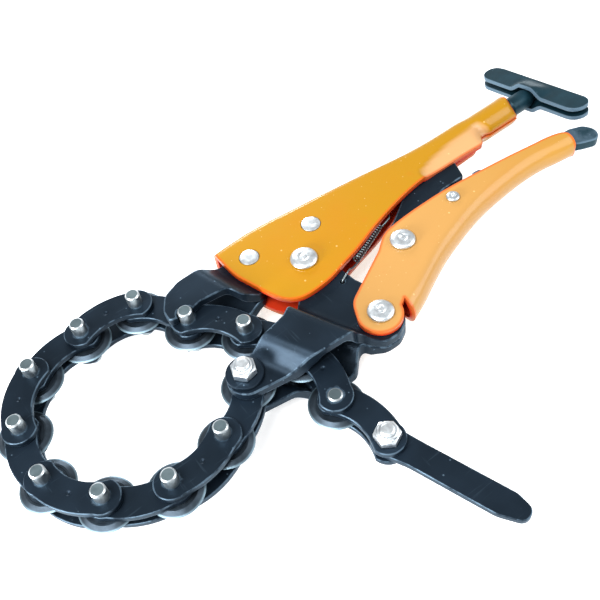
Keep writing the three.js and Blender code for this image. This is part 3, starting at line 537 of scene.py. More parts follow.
def settle(piece):
    """Turns a piece's modifiers into its own plain mesh."""
    graph = bpy.context.evaluated_depsgraph_get()
    graph.update()
    seen = piece.evaluated_get(graph)
    mesh = bpy.data.meshes.new_from_object(seen, preserve_all_data_layers=True, depsgraph=graph)
    piece.modifiers.clear()
    old, piece.data = piece.data, mesh
    mesh.name = piece.name
    if old.users == 0:
        bpy.data.meshes.remove(old)
    return piece


@contextmanager
def edited(mesh):
    form = bmesh.new()
    form.from_mesh(mesh)
    yield form
    form.to_mesh(mesh)
    form.free()


def face_out(piece):
    with edited(piece.data) as form:
        if form.calc_volume(signed=True) < 0:
            bmesh.ops.reverse_faces(form, faces=form.faces)
    return piece


def hand_over(piece, body, slot, *nodes, crease=34):
    """Settles a piece, shades it, puts it in the frame, gives it its finish, hangs it on its body's empty, and
    hides the parts it stands for.
    """
    mesh = face_out(settle(piece)).data
    mesh.transform(Matrix.Translation(ORIGIN))
    mesh.shade_smooth()
    mesh.set_sharp_from_angle(angle=math.radians(crease))
    if "rim" not in mesh.attributes:
        mark(mesh, "rim", [FAR_RIM] * len(mesh.vertices))
    mesh.materials.clear()
    mesh.materials.append(made_once(slot, FINISHES[slot], sizes("finishes")))
    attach(piece, body)
    if nodes:
        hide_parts(*nodes)


def welded(piece, least=0.003 * MM, sheet=False):
    """Joins points that coincide and drops loose ones; an open sheet is turned to face outwards."""
    with edited(piece.data) as form:
        bmesh.ops.remove_doubles(form, verts=form.verts, dist=least)
        loose = [vert for vert in form.verts if not vert.link_faces]
        bmesh.ops.delete(form, geom=loose, context="VERTS")
        if sheet:
            bmesh.ops.recalc_face_normals(form, faces=form.faces)
            top = max(form.faces, key=lambda face: face.calc_center_median().z)
            if top.normal.z < 0:
                bmesh.ops.reverse_faces(form, faces=form.faces)
    return piece


def thickened(piece, sheet):
    """Gives an open sheet its thickness, on the inner side."""
    wall = piece.modifiers.new("wall", "SOLIDIFY")
    wall.thickness, wall.offset, wall.use_even_offset = sheet, -1.0, True
    return settle(piece)


def lipped(piece, width, segments, limit):
    """Rounds the edges that have a weight, or that turn sharply."""
    bevel = piece.modifiers.new("lip", "BEVEL")
    bevel.width, bevel.segments, bevel.limit_method, bevel.angle_limit = width, segments, limit, SHARP_TURN
    return settle(piece)


def combine(piece, other, operation):
    """Joins another piece to this one, or cuts it to their common part, and removes the other."""
    modifier = piece.modifiers.new("combine", "BOOLEAN")
    modifier.object, modifier.operation, modifier.solver = other, operation, "EXACT"
    settle(piece)
    bpy.data.objects.remove(other)
    return piece


def turned(name, outline, sides, at=(0.0, 0.0)):
    """A turned part from its half section of (radius, level) pairs, at a place on the mid-plane."""
    points = [(radius, 0.0, level) for radius, level in outline]
    chain_of = new_piece(name, points, [], [(k, k + 1) for k in range(len(points) - 1)])
    return grow(chain_of, turned_tree, Sides=sides, Place=(at[0], at[1], 0.0))


def both_ends(upper):
    """A half section that repeats its upper end below the mid-plane."""
    return [(radius, -level) for radius, level in reversed(upper)] + upper


def placed(piece, at, turn=0.0):
    piece.data.transform(Matrix.Translation((at.x, at.y, 0.0)) @ Matrix.Rotation(turn, 4, "Z"))
    return piece


def ring(at, count):
    """Edges of a closed loop whose first point is number at."""
    return [(at + k, at + (k + 1) % count) for k in range(count)]


def grid(first, rows, width, closed=False):
    """Faces between rows of points that are listed row after row."""
    faces = []
    for start in range(first, first + (rows - 1) * width, width):
        for k in range(width if closed else width - 1):
            a, b = start + k, start + (k + 1) % width
            faces.append((a, b, b + width, a + width))
    return faces


# Outlines


def mixed(a, b, share):
    return a + (b - a) * share


def smooth_share(value, low, high):
    t = max(0.0, min(1.0, (value - low) / (high - low)))
    return t * t * (3 - 2 * t)


def between(rows, x):
    """What follows x in sorted rows, taken between the rows on either side."""
    for a, b in zip(rows, rows[1:]):
        if x <= b[0]:
            share = max(0.0, (x - a[0]) / (b[0] - a[0])) if b[0] > a[0] else 1.0
            return [mixed(p, q, share) for p, q in zip(a[1:], b[1:])]
    return rows[-1][1:]


def arc(centre, radius, start, end, steps):
    """Points on a circle from one angle to another, in degrees, ends included."""
    angles = (math.radians(start + (end - start) * k / steps) for k in range(steps + 1))
    return [Vector((centre[0] + radius * math.cos(a), centre[1] + radius * math.sin(a))) for a in angles]


def rounded(corners, turn_per_step=7.0):
    """A closed outline with a round of radius r at each corner, given as (x, y, r)."""
    points = []
    for i, (x, y, radius) in enumerate(corners):
        here = Vector((x, y))
        back = Vector(corners[i - 1][:2]) - here
        forth = Vector(corners[(i + 1) % len(corners)][:2]) - here
        room = min(back.length, forth.length) / 2
        back.normalize()
        forth.normalize()
        half = math.acos(max(-1.0, min(1.0, back.dot(forth)))) / 2
        turn = math.pi - 2 * half
        if not radius or turn < math.radians(1.0):
            points.append(here)
            continue
        cut = min(radius / math.tan(half), room)
        used = cut * math.tan(half)
        centre = here + (back + forth).normalized() * used / math.sin(half)
        ends = (here + back * cut, here + forth * cut)
        first, last = (math.atan2(end.y - centre.y, end.x - centre.x) for end in ends)
        sweep = (last - first + math.pi) % (2 * math.pi) - math.pi
        steps = max(2, math.ceil(math.degrees(turn) / turn_per_step))
        points += arc(centre, used, math.degrees(first), math.degrees(first + sweep), steps)
    return thinned(points)


def thinned(points, least=0.05 * MM):
    kept = []
    for point in points:
        if not kept or (point - kept[-1]).length > least:
            kept.append(point)
    if (kept[0] - kept[-1]).length <= least:
        kept.pop()
    return kept


def divided(loop, longest):
    """A closed loop with its long edges cut into pieces."""
    points = []
    for here, there in zip(loop, loop[1:] + loop[:1]):
        pieces = max(1, math.ceil((there - here).length / longest))
        points += [here.lerp(there, k / pieces) for k in range(pieces)]
    return points


def inset(loop, distance):
    """A closed loop moved to its left; edges that would turn round are drawn together."""
    moved = []
    ahead = loop[1:] + loop[:1]
    for i, here in enumerate(loop):
        before, after = (here - loop[i - 1]).normalized(), (ahead[i] - here).normalized()
        left = Vector((-before.y - after.y, before.x + after.x)).normalized()
        moved.append(here + left * distance / max(0.5, left.dot(Vector((-before.y, before.x)))))
    for _pass in range(12):
        pairs = [(k, (k + 1) % len(loop)) for k in range(len(loop))]
        crossed = [(a, b) for a, b in pairs if (moved[b] - moved[a]).dot(loop[b] - loop[a]) < -1e-12]
        if not crossed:
            break
        for a, b in crossed:
            moved[a] = moved[b] = (moved[a] + moved[b]) / 2
    return moved


def inside(loop, x, y):
    held = False
    ahead = loop[-1]
    for here in loop:
        if (here.y > y) != (ahead.y > y):
            if x < here.x + (y - here.y) * (ahead.x - here.x) / (ahead.y - here.y):
                held = not held
        ahead = here
    return held


def in_sheet(bounds, x, y):
    """Whether a point lies inside the first loop and outside the holes that follow it."""
    return inside(bounds[0], x, y) and not any(inside(hole, x, y) for hole in bounds[1:])


def scattered(box, bounds, step, squat=1.0):
    """Staggered points over a loop's box, in rows squat steps apart, kept where they lie in the sheet."""
    xs, ys = [point.x for point in box], [point.y for point in box]
    left, low = min(xs), min(ys)
    for i in range(int((max(xs) - left) / step) + 1):
        for j in range(int((max(ys) - low) / (step * squat)) + 1):
            x, y = left + (i + 0.5 * (j % 2)) * step, low + j * step * squat
            if in_sheet(bounds, x, y):
                yield Vector((x, y))


def filled(flat, edges, bounds):
    """Triangles over a sheet, each listed counter-clockwise, with their points and where these come from."""
    found, _edges, triangles, origins, _from, _of = delaunay_2d_cdt(flat, edges, [], 0, 1e-9)
    kept = []
    for triangle in triangles:
        a, b, c = (found[k] for k in triangle)
        if in_sheet(bounds, (a.x + b.x + c.x) / 3, (a.y + b.y + c.y) / 3):
            kept.append(triangle if (b - a).cross(c - a) > 0 else triangle[::-1])
    return found, origins, kept


def blank(name, outline, bores, low, high, edge, step=None, dimple=None, worn=0.7 * MM):
    """A plate cut from sheet: a closed outline with round bores, and rounded edges.

    low and high are the two faces' levels, or give them at a point. step is the spacing of the points
    inside, which a bent plate needs. dimple is (x, y, radius, depth) of a punched mark in the upper face.
    """
    low, high = (level if callable(level) else (lambda _point, fixed=level: fixed) for level in (low, high))
    hold, side_drop, bore_share = 0.15 * MM, edge + 0.35 * MM, 0.4
    loops = [divided(outline, step or 1.0)]
    loops += [arc((x, y), radius, 360, 0, BORE_STEPS)[:-1] for x, y, radius in bores]
    turns = [math.radians(30 * k) for k in range(4)]
    section = [(0.0, side_drop), *((edge * (1 - math.cos(a)), edge * (1 - math.sin(a))) for a in turns)]
    section += [(edge + hold, 0.0), (edge + worn, 0.0)]
    rows = [(*row, low, 1) for row in reversed(section)] + [(*row, high, -1) for row in section]
    points, rim, faces, spans = [], [], [], []
    for loop in loops:
        spans.append((len(points), len(loop)))
        faces += grid(len(points), len(rows), len(loop), closed=True)
        for by, drop, level, sign in rows:
            side_row = drop > edge
            if len(spans) > 1:
                past = max(0.0, by - edge)
                by = min(by, edge) * bore_share + min(past, hold) * (0.5 if past <= hold else 1.0)
                drop *= bore_share
            points += [Vector((p.x, p.y, level(p) + sign * drop)) for p in inset(loop, by)]
            rim += [SIDE_RIM if side_row else max(0.0, by - edge)] * len(loop)
    extra = []
    if step:
        margin = edge + worn + step * 0.6
        outer = inset(loops[0], margin)
        holes = [arc((x, y), radius + margin, 0, 360, 24)[:-1] for x, y, radius in bores]
        extra = [(point, 0.0) for point in scattered(outer, [outer, *holes], step)]
    for top, level in enumerate((low, high)):
        added = list(extra)
        if dimple and top:
            x, y, radius, depth = dimple
            added.append((Vector((x, y)), depth))
            for share, fall in ((0.35, 0.9), (0.65, 0.55), (0.85, 0.2), (1.0, 0.03), (1.25, 0.0)):
                added += [(point, depth * fall) for point in arc((x, y), radius * share, 0, 360, 20)[:-1]]
        names, edges, bounds = [], [], []
        for first, count in spans:
            start = first + top * (len(rows) - 1) * count
            edges += ring(len(names), count)
            names += range(start, start + count)
            bounds.append([point.to_2d() for point in points[start : start + count]])
        flat = [point for bound in bounds for point in bound]
        for point, fall in added:
            names.append(len(points))
            flat.append(point)
            points.append(Vector((point.x, point.y, level(point) - fall)))
            rim.append(FAR_RIM)
        found, origins, triangles = filled(flat, edges, bounds)
        crossed = [tuple(found[k] / MM) for k, sources in enumerate(origins) if not sources]
        if crossed:
            raise ValueError(f"{name}: outlines cross at {crossed[:4]}")
        for triangle in triangles:
            faces.append([names[origins[k][0]] for k in (triangle if top else triangle[::-1])])
    return welded(new_piece(name, points, faces, rim=rim))


def catmull(rows, steps):
    """Smooth rows through the given rows of numbers."""
    padded = [rows[0], *rows, rows[-1]]
    made = []
    for before, a, b, after in zip(padded, padded[1:], padded[2:], padded[3:]):
        for k in range(steps):
            t = k / steps
            shares = (2 * t**3 - 3 * t**2 + 1, t**3 - 2 * t**2 + t, 3 * t**2 - 2 * t**3, t**3 - t**2)
            numbers = zip(a, b, before, after)
            terms = ((p, (q - o) / 2, q, (n - p) / 2) for p, q, o, n in numbers)
            made.append([sum(share * term for share, term in zip(shares, row)) for row in terms])
    return [*made, list(rows[-1])]


def resampled(points, step):
    """An open line with points at even steps along it."""
    lengths = [0.0]
    for a, b in zip(points, points[1:]):
        lengths.append(lengths[-1] + (b - a).length)
    count = max(1, round(lengths[-1] / step))
    made, i = [], 0
    for k in range(count + 1):
        want = lengths[-1] * k / count
        while i < len(points) - 2 and lengths[i + 1] < want:
            i += 1
        span = lengths[i + 1] - lengths[i]
        made.append(points[i].lerp(points[i + 1], (want - lengths[i]) / span if span else 0.0))
    return made


def edge_gap(point, line):
    """Distance from a point to an open line of points."""
    least = 1.0
    for a, b in zip(line, line[1:]):
        run = b - a
        t = max(0.0, min(1.0, (point - a).dot(run) / run.length_squared)) if run.length_squared else 0.0
        least = min(least, (point - a.lerp(b, t)).length)
    return least


def spread(rows, length, width, corner):
    """Corners from rows of shares."""
    return [(x * length, y * width, c * corner) for x, y, c in rows]


def eye_end(r, *rights):
    """Corners of a lever's round end at its pivot, and of its lower edge at each distance in rights."""
    return [(-r, r, r), (-r, -r, r), *((right, -r, r) for right in rights)]


class Levels:
    """Heights of the stacked plates over the chain's mid-plane."""

    def __init__(self):
        chain, jaws = sizes("chain"), sizes("jaws")
        gap = chain.clearance
        self.inner_low = chain.wheel_half + gap
        self.inner_high = self.inner_low + chain.plate
        self.outer_low = self.inner_high + gap
        self.jaw_high = gap / 2 + jaws.plate
        self.hook_high = self.outer_low + chain.plate + gap + jaws.plate
        self.bulge_high = chain.pin_top + 0.4 * MM + jaws.plate
        self.anchor_high = self.inner_high + gap + jaws.plate
        self.seat = sizes("handles").half + gap


# Chain


def link_outline(chain):
    radius, pitch = chain.end_radius, chain.pitch
    outer = 2 * (chain.bow + chain.waist / 2) - radius
    inner = 2 * (chain.bow - chain.waist / 2) + radius

    def bowed(start, level, end):
        bend = Vector((pitch / 2, level))
        shares = [k / 16 for k in range(1, 16)]
        return [start.lerp(bend, t).lerp(bend.lerp(end, t), t) for t in shares]

    left = arc((0, 0), radius, 90, 270, 24)
    right = arc((pitch, 0), radius, -90, 90, 24)
    return thinned(left + bowed(left[-1], inner, right[0]) + right + bowed(right[-1], outer, left[0]))


def pin_outline(chain, top):
    r, c = chain.pin_radius, chain.pin_round
    return both_ends([(r, top - c - 1.2 * MM), (r, top - c), (r - c, top), (r - c - 0.2 * MM, top), (0.0, top)])


class CUTTER_OT_chain_links(bpy.types.Operator):
    """Builds the chain's plates as pairs, and the riveted pins of its outer links"""

    bl_idname = "cutter.chain_links"
    bl_label = "Chain links"

    def execute(self, _context):
        chain, levels = sizes("chain"), Levels()
        pitch, pin = chain.pitch, chain.pin_radius
        punch = (pitch / 2, chain.bow * 0.8, 1.1 * MM, 0.45 * MM)
        for i in range(LINKS):
            run = PINS[i + 1] - PINS[i]
            inner = i % 2 == 0
            number = f"{i // 2 + 1:02d}"
            if inner:
                name, low, radius, dimple = "inner_plates_", levels.inner_low, pin + chain.clearance, None
                nodes = (f"inner_plate_top_{number}", f"inner_plate_bottom_{number}")
            else:
                name, low, radius, dimple = "outer_plates_", levels.outer_low, pin * 0.98, punch
                nodes = (f"outer_link_{number}",)
            bores = [(0, 0, radius), (pitch, 0, radius)]
            high = low + chain.plate
            plate = blank(name + number, link_outline(chain), bores, low, high, chain.edge, dimple=dimple)
            grow(plate, pair_tree, Place=(*PINS[i], 0.0), Turn=(0.0, 0.0, math.atan2(run.y, run.x)))
            hand_over(plate, f"link_{i:02d}", "black_steel", *nodes)
            for k in () if inner else (i, i + 1):
                top = chain.short_pin_top if k == LINKS - 1 else chain.pin_top
                piece = settle(turned(f"link_pin_{k:02d}", pin_outline(chain, top), 40, PINS[k]))
                reaches = [(vert.co.to_2d() - PINS[k]).length / pin for vert in piece.data.vertices]
                # Darkens the flat pin tops, which are matt riveted ends, and the pins' sides as a painted dark
                # reflection of the plates; the chamfer ring stays bright
                mark(piece.data, "dull", [0.9 if reach < 0.8 else 0.55 * (reach > 0.98) for reach in reaches])
                hand_over(piece, f"link_{i:02d}", "zinc")
        return DONE


class CUTTER_OT_wheels(bpy.types.Operator):
    """Builds the cutter wheels with their bevelled rims"""

    bl_idname = "cutter.wheels"
    bl_label = "Cutter wheels"

    def execute(self, _context):
        chain = sizes("chain")
        half, dish = chain.wheel_half, chain.wheel_half - 0.12 * MM
        bore = chain.pin_radius + chain.clearance * 0.8
        flat = chain.wheel_radius - chain.wheel_bevel
        upper = [(bore, half - 0.3 * MM), (bore + 0.3 * MM, half), (bore + 2.1 * MM, half)]
        upper += [(bore + 2.3 * MM, dish), (flat - 1.0 * MM, dish), (flat - 0.8 * MM, half), (flat, half)]
        upper += [(chain.wheel_radius, 0.1 * MM)]
        outline = [*upper, *((radius, -level) for radius, level in reversed(upper)), upper[0]]
        for i in range(LINKS):
            wheel = turned(f"wheel_{i:02d}", outline, 72, PINS[i])
            hand_over(wheel, f"wheel_{i:02d}", "wheel_steel", f"cutter_wheel_{i:02d}", crease=20)
        return DONE


# Fastenings


def solid(name, outline, sides):
    return face_out(settle(turned(name, outline, sides)))


def hexagonal(name, across, low, high, bore, crowned):
    """A hexagon with a turned crown below, and above if it is crowned, and a round bore."""
    corner = across / math.sqrt(3)
    hexagon = arc((0, 0), corner, 0, 360, 6)[:-1]
    body = blank(name, hexagon, [(0, 0, bore)] if bore else [], low, high, 0.15 * MM)
    slim, wide = across / 2 * 0.93, corner * 1.02
    fall = (corner - slim) * 0.55
    outline = [(0.0, low), (slim, low), (wide, low + fall)]
    if crowned:
        outline += [(wide, high - fall), (slim, high), (0.0, high)]
    else:
        outline += [(corner * 1.1, high + MM), (0.0, high + MM)]
    return combine(body, solid(name + "_crown", outline, 64), "INTERSECT")


def collar(name, across, low, high, bore):
    """The round locking collar on top of a nut."""
    base, top, radius = low + high * 0.5, low + high, across / 2 * 0.92
    outline = [(bore, base), (radius, base)]
    for angle in (math.radians(15 * k) for k in range(7)):
        reach = bore + (radius - bore) * (0.25 + 0.75 * math.cos(angle))
        outline.append((reach, mixed(base, top, 0.55 + 0.45 * math.sin(angle))))
    return solid(name + "_collar", [*outline, (bore, top), (bore, base)], 64)


def threaded_outline(radius, low, high, pitch, tip):
    """Half section of a rod with thread ridges between two levels and a rounded tip above."""
    outline = [(0.0, low), (radius, low)]
    level = low + pitch
    while level < high - tip - pitch / 2:
        for along, cut in ((-0.4, 0), (0, 0.45), (0.4, 0)):
            outline.append((radius - pitch * cut, level + pitch * along))
        level += pitch
    turns = [math.radians(15 * k) for k in range(7)]
    outline += [(radius - tip + tip * math.cos(a), high - tip + tip * math.sin(a)) for a in turns]
    return outline + [(0.0, high)]


class CUTTER_OT_fastenings(bpy.types.Operator):
    """Builds the anchor and tail bolts with their nuts and washers"""

    bl_idname = "cutter.fastenings"
    bl_label = "Bolts, nuts and washers"

    def execute(self, _context):
        chain, levels = sizes("chain"), Levels()
        gap, pin = chain.clearance, chain.pin_radius
        across, nut_high, head_high = 9 * MM, 5 * MM, 4 * MM
        low, soft = levels.anchor_high + gap, 0.35 * MM
        high, inner, outer = low + 1.5 * MM, pin + gap, 7.5 * MM
        section = [(inner, low), (outer - soft, low), (outer, low + soft), (outer, high - soft)]
        section += [(outer - soft * 0.3, high - soft * 0.3), (outer - soft, high)]
        section += [(inner + soft, high), (inner, high - soft), (inner, low)]
        for side, sign in (("top", 1), ("bottom", -1)):
            outline = [(radius, sign * level) for radius, level in section]
            washer = turned(f"anchor_washer_{side}_disc", outline, 72, PINS[0])
            hand_over(washer, "lower_jaw", "black_steel", f"anchor_washer_{side}", crease=30)
        sets = (
            ("anchor", "lower_jaw", PINS[0], high + gap, 10),
            ("tail", "link_12", PINS[-1], levels.inner_high + gap, 25),
        )
        for name, body, at, seat, turn in sets:
            nut = hexagonal(f"{name}_hex_nut", across, seat, seat + nut_high * 0.7, pin, True)
            combine(nut, collar(name, across, seat, nut_high, pin), "UNION")
            hand_over(placed(nut, at, math.radians(turn)), body, "zinc", f"{name}_nut", crease=20)
            bolt = hexagonal(f"{name}_hex_bolt", across, -seat - head_high, -seat, 0, False)
            top = seat + nut_high + 1.0 * MM
            rod = threaded_outline(pin * 0.985, -seat - head_high / 2, top, 0.75 * MM, 1.1 * MM)
            combine(bolt, solid(name + "_shank", rod, 40), "UNION")
            hand_over(placed(bolt, at), body, "zinc", f"{name}_bolt", crease=24)
        return DONE


# Jaws


class Crank:
    """A face's level along a heading: straight runs through (distance, level) points, with soft bends."""

    def __init__(self, points, toward, bend):
        self.points, self.toward, self.bend = points, toward, bend
        self.sums = [0.0]
        for (u, z), (v, w) in zip(points, points[1:]):
            self.sums.append(self.sums[-1] + (v - u) * (z + w) / 2)

    def total(self, u):
        last = len(self.points) - 2
        for i, ((a, z), (b, w)) in enumerate(zip(self.points, self.points[1:])):
            if u <= b or i == last:
                level = z + (w - z) * (u - a) / (b - a)
                return self.sums[i] + (u - a) * (z + level) / 2

    def __call__(self, point):
        u = point.x * self.toward.x + point.y * self.toward.y
        return (self.total(u + self.bend / 2) - self.total(u - self.bend / 2)) / self.bend

    def under(self, thickness):
        """The face below, a plate's thickness away."""
        runs = [(Vector(b) - Vector(a)).normalized() for a, b in zip(self.points, self.points[1:])]
        normals = [Vector((-run.y, run.x)) for run in runs]
        lower = []
        for i, point in enumerate(self.points):
            mitre = normals[max(i - 1, 0)] + normals[min(i, len(normals) - 1)]
            mitre *= 2 * thickness / mitre.length_squared
            lower.append((point[0] - mitre.x, point[1] - mitre.y))
        return Crank(lower, self.toward, self.bend)


LOWER_JAW_TOP = ((-0.29, -0.295, 1), (-0.45, -0.4, 1), (-0.61, -0.43, 1))
LOWER_JAW_TAIL = ((-0.64, -0.71, 0.5), (-0.47, -0.775, 0.5), (-0.2, -0.79, 0.5), (-0.115, -0.73, 0.5))
LOWER_JAW_PIVOT = (
    (-0.98, -0.58, 0.4),
    (-0.58, -1, 0.5),
    (0.05, -1.02, 0.6),
    (0.58, -0.74, 0.5),
    (0.84, -0.05, 0.5),
    (0.6, 0.95, 0.6),
    (0.52, 1.6, 0.3),
    (0.4, 1.95, 0.3),
)
HOOK_BACK = (
    (-0.62, 0.115, 0.5),
    (-0.575, -0.012, 0.38),
    (-0.41, -0.02, 0.5),
    (-0.27, 0.16, 0.75),
    (0.15, 0.18, 0.5),
    (0.24, 0.125, 0.5),
)
HOOK_TOP = ((-0.6, 0.425, 1), (-0.88, 0.42, 1), (-1.03, 0.365, 1), (-1.115, 0.24, 1))


def lower_jaw_outline(jaws):
    eye, end, r = jaws.eye, jaws.anchor_eye, jaws.handle_eye
    (x, y), reach = PINS[0], PINS[0].length
    corners = [(eye, -eye / 2, eye / 2), (eye, eye, eye), (-eye, eye, eye), (-eye, -eye, eye)]
    corners += spread(LOWER_JAW_TOP, reach, reach, eye)
    corners += [(x - end, y + end * 0.75, end), (x - end, y - end, end)]
    corners += spread(LOWER_JAW_TAIL, reach, reach, end)
    corners += [(HANDLE_PIVOT.x + u * r, HANDLE_PIVOT.y + v * r, c * r) for u, v, c in LOWER_JAW_PIVOT]
    return rounded(corners)


def upper_jaw_outline(jaws):
    (x, y), reach = PINS[9], PINS[9].length
    notch, flush = jaws.notch, jaws.flush_rivet * 1.7
    corners = [(x + notch, y, 0), (x + notch * 2.2, y + notch * 0.3, notch / 2)]
    corners += spread(HOOK_BACK, reach, reach, jaws.hook_corner)
    for side in (-1, 1):
        corners.append((JAW_RIVET_REAR.x + flush, JAW_RIVET_REAR.y + side * flush, jaws.flush_rivet))
    corners += spread(HOOK_TOP, reach, reach, jaws.hook_corner)
    corners += [(x - notch * 2, y + notch * 0.15, notch / 2), (x - notch, y, 0)]
    return thinned(rounded(corners) + arc((x, y), notch, 180, 0, 22)[1:-1])


def heading(degrees):
    return Vector((math.cos(math.radians(degrees)), math.sin(math.radians(degrees))))


class CUTTER_OT_jaws(bpy.types.Operator):
    """Builds the cranked lower jaw plates and the stepped hook plates"""

    bl_idname = "cutter.jaws"
    bl_label = "Jaw plates"

    def execute(self, _context):
        jaws, levels, chain = sizes("jaws"), Levels(), sizes("chain")
        far, gap = 0.2, chain.clearance
        flat, bulge, anchor = levels.jaw_high, levels.bulge_high, levels.anchor_high
        lower_runs = [(-far, flat), (22.5 * MM, flat), (30.1 * MM, bulge), (46 * MM, bulge)]
        lower_runs += [(52.6 * MM, anchor), (far, anchor)]
        upper_runs = [(-far, flat), (23.3 * MM, flat), (31.1 * MM, levels.hook_high), (far, levels.hook_high)]
        rivet, flush = jaws.rivet + gap, jaws.flush_rivet + gap * 0.5
        lower_bores = [(0, 0, rivet), (*HANDLE_PIVOT, rivet), (*PINS[0], chain.pin_radius + gap)]
        upper_bores = [(*JAW_RIVET_FRONT, flush), (*JAW_RIVET_REAR, flush)]
        spring_hole = (5.7 * MM, -18.5 * MM, 1.0 * MM)
        sets = (
            ("lower_jaw", "lower_jaw", lower_jaw_outline(jaws), lower_bores, lower_runs, -156.5, [spring_hole]),
            ("upper_jaw", "frame", upper_jaw_outline(jaws), upper_bores, upper_runs, -165, []),
        )
        for name, body, outline, bores, runs, degrees, more in sets:
            upper = Crank(runs, heading(degrees), jaws.bend)
            lower = upper.under(jaws.plate)
            shape = (lower, upper, jaws.edge, 1.5 * MM, None, 0.35 * MM)
            under = blank(f"{name}_under", outline, bores, *shape)
            under.data.transform(Matrix.Scale(-1, 4, (0, 0, 1)))
            under.data.flip_normals()
            over = blank(f"{name}_over", outline, bores + more, *shape)
            hand_over(over, body, "black_steel", f"{name}_plate_top")
            hand_over(under, body, "black_steel", f"{name}_plate_bottom")
        return DONE


# Rivets


def domed(shank, head, seat, rise):
    """Half section of a rivet with two domed heads, each staked in the middle."""
    high = seat + rise
    upper = [(shank, seat), (head * 0.97, seat), (head, seat + rise * 0.12), (head, seat + rise * 0.3)]
    for angle in (share * math.pi / 2 for share in (0.12, 0.3, 0.5, 0.7, 0.88)):
        upper.append((head * (0.52 + 0.48 * math.cos(angle)), seat + rise * (0.3 + 0.66 * math.sin(angle))))
    stake = ((0.5, 0.02), (0.4, 0), (0.36, 0.03), (0.31, 0.14), (0.24, 0.15), (0.18, 0.03), (0.08, 0), (0, 0))
    return both_ends(upper + [(head * reach, high - rise * fall) for reach, fall in stake])


class CUTTER_OT_rivets(bpy.types.Operator):
    """Builds the domed pivot rivets and the flush rivets of the hook plates"""

    bl_idname = "cutter.rivets"
    bl_label = "Rivets"

    def execute(self, _context):
        jaws, seat, fine = sizes("jaws"), Levels().seat, 0.02 * MM
        sets = (
            ("main_pivot", "frame", (0, 0), jaws.rivet, 5.9 * MM, 2.0 * MM),
            ("handle_pivot", "lower_jaw", HANDLE_PIVOT, jaws.rivet, 5.5 * MM, 2.0 * MM),
            ("toggle", "lower_handle", TOGGLE_PIVOT, jaws.rivet, 5.5 * MM, 2.0 * MM),
            ("release", "lower_handle", RELEASE_PIVOT, 1.9 * MM, 3.0 * MM, 1.3 * MM),
        )
        for name, body, at, shank, head, rise in sets:
            rivet = turned(f"{name}_rivet_dome", domed(shank, head, seat - fine, rise), 72, at)
            hand_over(rivet, body, "zinc", f"{name}_rivet", crease=40)
        r, top = jaws.flush_rivet, seat + fine
        upper = [(r, top - 0.45 * MM), (r - 0.14 * MM, top - 0.12 * MM), (r - 0.45 * MM, top)]
        upper += [(r * 0.5, top + fine), (0.0, top + 0.03 * MM)]
        for name, at in (("front", JAW_RIVET_FRONT), ("rear", JAW_RIVET_REAR)):
            rivet = turned(f"jaw_rivet_{name}_flush", both_ends(upper), 64, at)
            hand_over(rivet, "frame", "zinc", f"jaw_rivet_{name}", crease=40)
        return DONE


# Pressed handles


